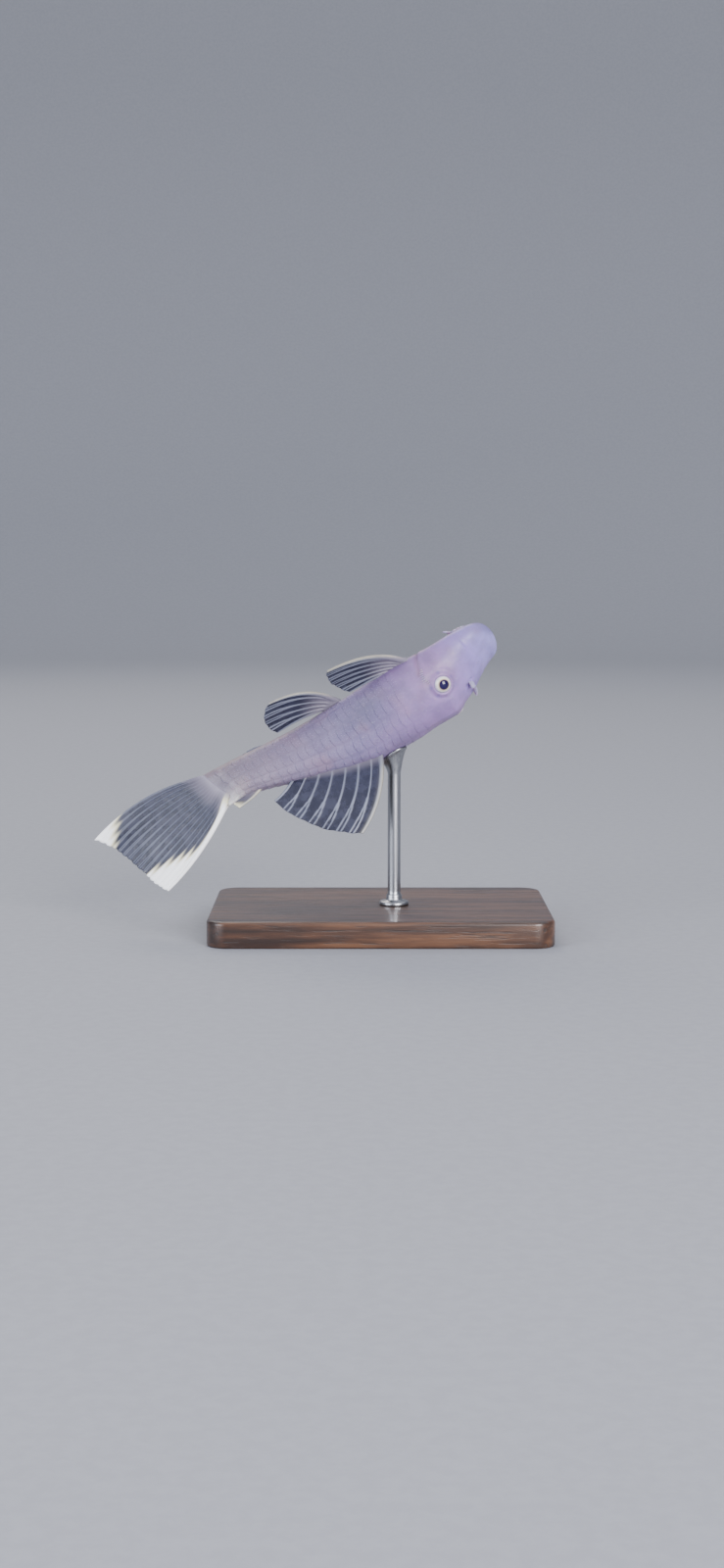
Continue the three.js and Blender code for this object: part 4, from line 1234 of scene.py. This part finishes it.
def make_fin(name, side, label):
    """A fin as one thin closed skin on both sides of its middle surface. The margin is a little
    uneven and drawn in between rays, and the whole membrane ripples gently."""
    fin = FINS[name]
    gaps = fin["rays"] - 1
    share = np.linspace(0, 1, gaps * RAY_STEPS + 1)
    share = (1 - CROWDING) * share + CROWDING * (1 - np.cos(math.pi * share)) / 2
    nearest = np.round(share * gaps).astype(int)
    uneven = chance.uniform(0, NOTCH, fin["rays"])[nearest]
    reach = 1 - uneven - NOTCH * smooth(0.12, 0.5, np.abs(share * gaps - nearest))
    v = np.linspace(0, 1, FIN_ROWS)[:, None] * reach
    u = share + 0 * v
    step = 1e-3
    across = (fin_point(fin, side, u + step, v) - fin_point(fin, side, u - step, v)) / (2 * step)
    along = (fin_point(fin, side, u, v + step) - fin_point(fin, side, u, v - step)) / (2 * step)
    out = unit(np.cross(across, along))
    thick, bone = fin_thickness(fin, u, v, np.linalg.norm(across, axis=-1))
    ripple = np.sin(TURN * (1.6 * u + 0.25)) * np.sin(math.pi * u)
    ripple += 0.5 * np.sin(TURN * (0.7 * v + 2.3 * u))
    middle = fin_point(fin, side, u, v) + out * (fin["ripple"] * v**2 * ripple)[..., None]
    face = middle + out * thick[..., None]
    reverse = middle - out * thick[..., None]
    rings = np.concatenate([face, reverse[:, -2:0:-1]], axis=1)

    def both(layer):
        return np.concatenate([layer, layer[:, -2:0:-1]], axis=1).ravel()

    smoke = fin_smoke(name, u, v)
    joint = 0.5 + 0.5 * np.cos(TURN * v * np.linalg.norm(along, axis=-1) / JOINT_PITCH)
    pale = fin["pale_rays"] * (1 - 0.5 * bump(0.05, 0.4, v))
    values = {
        "ray": both(bone * (1 - RAY_NARROWING * v) * pale),
        "white": both(fin_white(name, u, v)),
        "smoke": both(smoke),
        "fleshy": both((1 - smooth(0.2, 1.0, v / fin["skin_share"])) * (1 - 0.6 * smoke) * 0.9),
        "joint": both(joint * smooth(0.25, 0.4, v)),
    }
    piece = new_piece(label + "_web", thin_shell(rings, len(share)), posed, FIN, "fin", values)
    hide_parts(label)


def thin_shell(rings, columns):
    """Vertices and faces of a thin closed skin: rings that run across one face and back over the
    other, shut along the root and the margin by strips between the two faces."""
    rows, length = rings.shape[:2]
    there = np.arange(1, columns - 2)
    strips, ends = [], []
    for start, order in ((0, 1), ((rows - 1) * length, -1)):
        here, next_here = start + there, start + there + 1
        back_here, back_next = start + length - there, start + length - there - 1
        strips.append(np.stack([here, back_here, back_next, next_here], axis=-1)[:, ::order])
        first = [start, start + length - 1, start + 1]
        final = [start + columns - 2, start + columns, start + columns - 1]
        ends.append(np.array([first, final])[:, ::order])
    quads = np.concatenate([grid_faces(rows, length, True), *strips])
    return rings.reshape(-1, 3), quads, np.concatenate(ends)


# Stand
def rounded_outline(inset):
    """Rectangle with round corners, as points, moved inwards by an inset."""
    radius = max(BASE["corner"] - inset, 0.4)
    x = BASE["length"] / 2 - inset - radius
    y = BASE["width"] / 2 - inset - radius
    turn = np.linspace(0, math.pi / 2, CORNER_POINTS)
    corner = radius * np.stack([np.cos(turn), np.sin(turn)], axis=-1)
    quarters = []
    quarter_turn = np.array([[0, 1], [-1, 0]])
    for quarter, middle in enumerate(([x, y], [-x, y], [-x, -y], [x, -y])):
        quarters.append(corner @ np.linalg.matrix_power(quarter_turn, quarter) + middle)
    return np.concatenate(quarters)


def make_base():
    """Base: one outline with round corners carried up a profile of insets and levels, with a broken
    lower edge and a rounded upper one."""
    height, edge = BASE["height"], BASE["edge"]
    round_over = np.linspace(0, math.pi / 2, 7)
    upper = [(edge * (1 - math.cos(a)), height - edge + edge * math.sin(a)) for a in round_over]
    profile = BASE_FOOT + upper + [(1.6, height), (4.6, height)]
    rings = np.stack([
        np.concatenate([rounded_outline(inset), np.full((4 * CORNER_POINTS, 1), level)], axis=-1)
        for inset, level in profile
    ])
    block = closed_tube(rings, [0, 0, 0], [0, 0, height])
    base = new_piece("display_base", block, standing, WOOD, "stand_base")
    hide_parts("stand_base")


def skin_underside(x, y):
    """Level of the fish's underside over places on the floor: the nearest point of a fine patch of
    skin, corrected by its slope."""
    along, around = np.linspace(*SEAT["at"], 190), np.linspace(*SEAT["turn"], 150)
    at, turn = np.meshgrid(along, around, indexing="ij")
    patch = posed(bare_skin(at, turn, SEAT["lift"])) / MM
    out = np.cross(np.gradient(patch, axis=0), np.gradient(patch, axis=1))
    out = unit(out).reshape(-1, 3)
    patch = patch.reshape(-1, 3)
    level = np.abs(out[:, 2]) > SEAT["upright"]
    out, patch = out[level], patch[level]
    gap = (patch[None, :, 0] - x.reshape(-1, 1)) ** 2 + (patch[None, :, 1] - y.reshape(-1, 1)) ** 2
    near = gap.argmin(axis=1)
    slope = out[near, :2] / out[near, 2:]
    shift = np.stack([x.ravel(), y.ravel()], axis=-1) - patch[near, :2]
    return (patch[near, 2] - (slope * shift).sum(axis=1)).reshape(x.shape)


def make_rod():
    """Rod: a profile turned about an upright axis, with a foot flange and a collar, flaring into a cup
    whose rim follows the fish's skin."""
    top = posed(placed(ROD["at"], ROD["left"], ROD["back"])) / MM
    foot = BASE["height"]
    turn = round_turns(ROD_SIDES)
    rim = turned(ROD["cup"], 0, turn, top)
    rim = skin_underside(rim[..., 0], rim[..., 1])
    lowest = rim.min()
    cup_from = lowest - foot - ROD["cup_height"]
    shaft = np.stack([np.full(9, ROD["radius"]), np.linspace(SHAFT_FROM, cup_from, 9)], axis=-1)
    flare = np.linspace(0.08, 1, 10)
    bell = ROD["radius"] + (ROD["cup"] - ROD["radius"]) * flare**1.6
    wall = RIM_SHARE * ROD["cup_height"]
    cup = np.stack([bell, cup_from + wall * flare], axis=-1)
    profile = np.concatenate([ROD_FOOT, shaft, cup])
    lift = smooth(cup_from, cup_from + wall, profile[:, 1:])
    level = foot + profile[:, 1:] + lift * (rim - lowest)
    rings = turned(profile[:, :1], level, turn, top)
    bowl = turned(CUP_BOWL[:, :1] * ROD["cup"], -CUP_BOWL[:, 1:], turn, top)
    bowl[..., 2] += skin_underside(bowl[..., 0], bowl[..., 1])
    rings = np.concatenate([rings, bowl])
    start = np.array([top[0], top[1], foot])
    tube = closed_tube(rings, start, bowl[-1].mean(axis=0))
    rod = new_piece("display_rod", tube, standing, STEEL, "stand_rod")
    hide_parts("stand_rod")


# Studio: radius of the flat floor, radius of the bend round it and levels of the wall above that, all
# in millimetres
FLOOR = {"flat": 1300, "bend": 600, "wall": (1100, 1700)}


def make_floor():
    """Floor: a flat disc that turns up into a wall all round, as a profile turned about the middle."""
    flat, bend = FLOOR["flat"], FLOOR["bend"]
    disc = np.stack([np.linspace(20, flat, 12), np.zeros(12)], axis=-1)
    curve = np.linspace(0, math.pi / 2, 16)[1:]
    sweep = np.stack([flat + bend * np.sin(curve), bend * (1 - np.cos(curve))], axis=-1)
    wall = [[flat + bend, level] for level in FLOOR["wall"]]
    profile = np.concatenate([disc, sweep, wall])
    rings = turned(profile[:, :1], profile[:, 1:], round_turns(FLOOR_SIDES))
    points = np.concatenate([rings.reshape(-1, 3), [[0, 0, 0]]])
    first = np.arange(FLOOR_SIDES)
    hub = np.full(FLOOR_SIDES, rings.size // 3)
    middle = np.stack([hub, first, np.roll(first, -1)], axis=-1)
    shape = points, grid_faces(len(profile), FLOOR_SIDES, True), middle
    floor = new_piece("studio_floor", shape, standing, floor_finish())


# Soft lights: place in metres, width of the square in metres, watts and colour. Then the point in
# metres that they face, and the light of the air all round
LIGHTS = {
    "key_light": ((0.5, -0.95, 0.36), 0.6, 21.0, (255, 252, 255)),
    "fill_light": ((-0.9, -0.7, 0.3), 0.8, 15.0, (240, 244, 255)),
    "back_light": ((-0.3, 0.8, 0.9), 0.7, 6.0, (255, 246, 236)),
}
LIT_POINT = (0, 0, 0.045)
AIR = {"colour": (226, 230, 240), "strength": 1.6}


def make_light(name, place, size, watts, colour):
    """A square soft light that faces the middle of the fish."""
    lamp = bpy.data.lights.new(name, "AREA")
    lamp.shape = "SQUARE"
    lamp.size = size
    lamp.energy = watts
    lamp.color = srgb(*colour)[:3]
    holder = bpy.data.objects.new(name, lamp)
    holder.location = place
    aim = Vector(LIT_POINT) - Vector(place)
    holder.rotation_euler = aim.to_track_quat("-Z", "Y").to_euler()
    bpy.context.collection.objects.link(holder)


def make_studio():
    """Soft key light from the upper right, a broad fill from the left, one from behind, and pale air."""
    for name, light in LIGHTS.items():
        make_light(name, *light)
    world = bpy.data.worlds.new("studio_air")
    world.use_nodes = True
    sky = world.node_tree.nodes["Background"]
    sky.inputs["Color"].default_value = srgb(*AIR["colour"])
    sky.inputs["Strength"].default_value = AIR["strength"]
    bpy.context.scene.world = world


# Camera, at the photograph's angle, with its target, distance and lens in millimetres
CAMERA = {"elevation": math.radians(6), "target": (-4.2, 0.0, 34.1), "distance": 505, "lens": 50}


def make_camera():
    """Camera in front of the fish's left flank, looking slightly down."""
    camera = bpy.data.cameras.new("view_camera")
    camera.lens = CAMERA["lens"]
    camera.sensor_width = 36
    camera.clip_start = 0.02
    camera.clip_end = 20
    holder = bpy.data.objects.new("view_camera", camera)
    behind = Vector((0, -math.cos(CAMERA["elevation"]), math.sin(CAMERA["elevation"])))
    holder.location = (Vector(CAMERA["target"]) + CAMERA["distance"] * behind) * MM
    holder.rotation_euler = (-behind).to_track_quat("-Z", "Y").to_euler()
    bpy.context.collection.objects.link(holder)
    bpy.context.scene.camera = holder


make_skin()
make_odontodes()
make_cheek_spines()
make_lips()
make_barbels()
make_nostril_flaps()
make_eye(1, "eyeball_left", "eye_left")
make_eye(-1, "eyeball_right", "eye_right")
for fin_name in ("dorsal_fin", "adipose_fin", "anal_fin", "caudal_fin"):
    make_fin(fin_name, 1, fin_name)
for fin_name in ("pectoral_fin", "pelvic_fin"):
    make_fin(fin_name, 1, fin_name + "_left")
    make_fin(fin_name, -1, fin_name + "_right")
make_base()
make_rod()
make_floor()
make_studio()
make_camera()
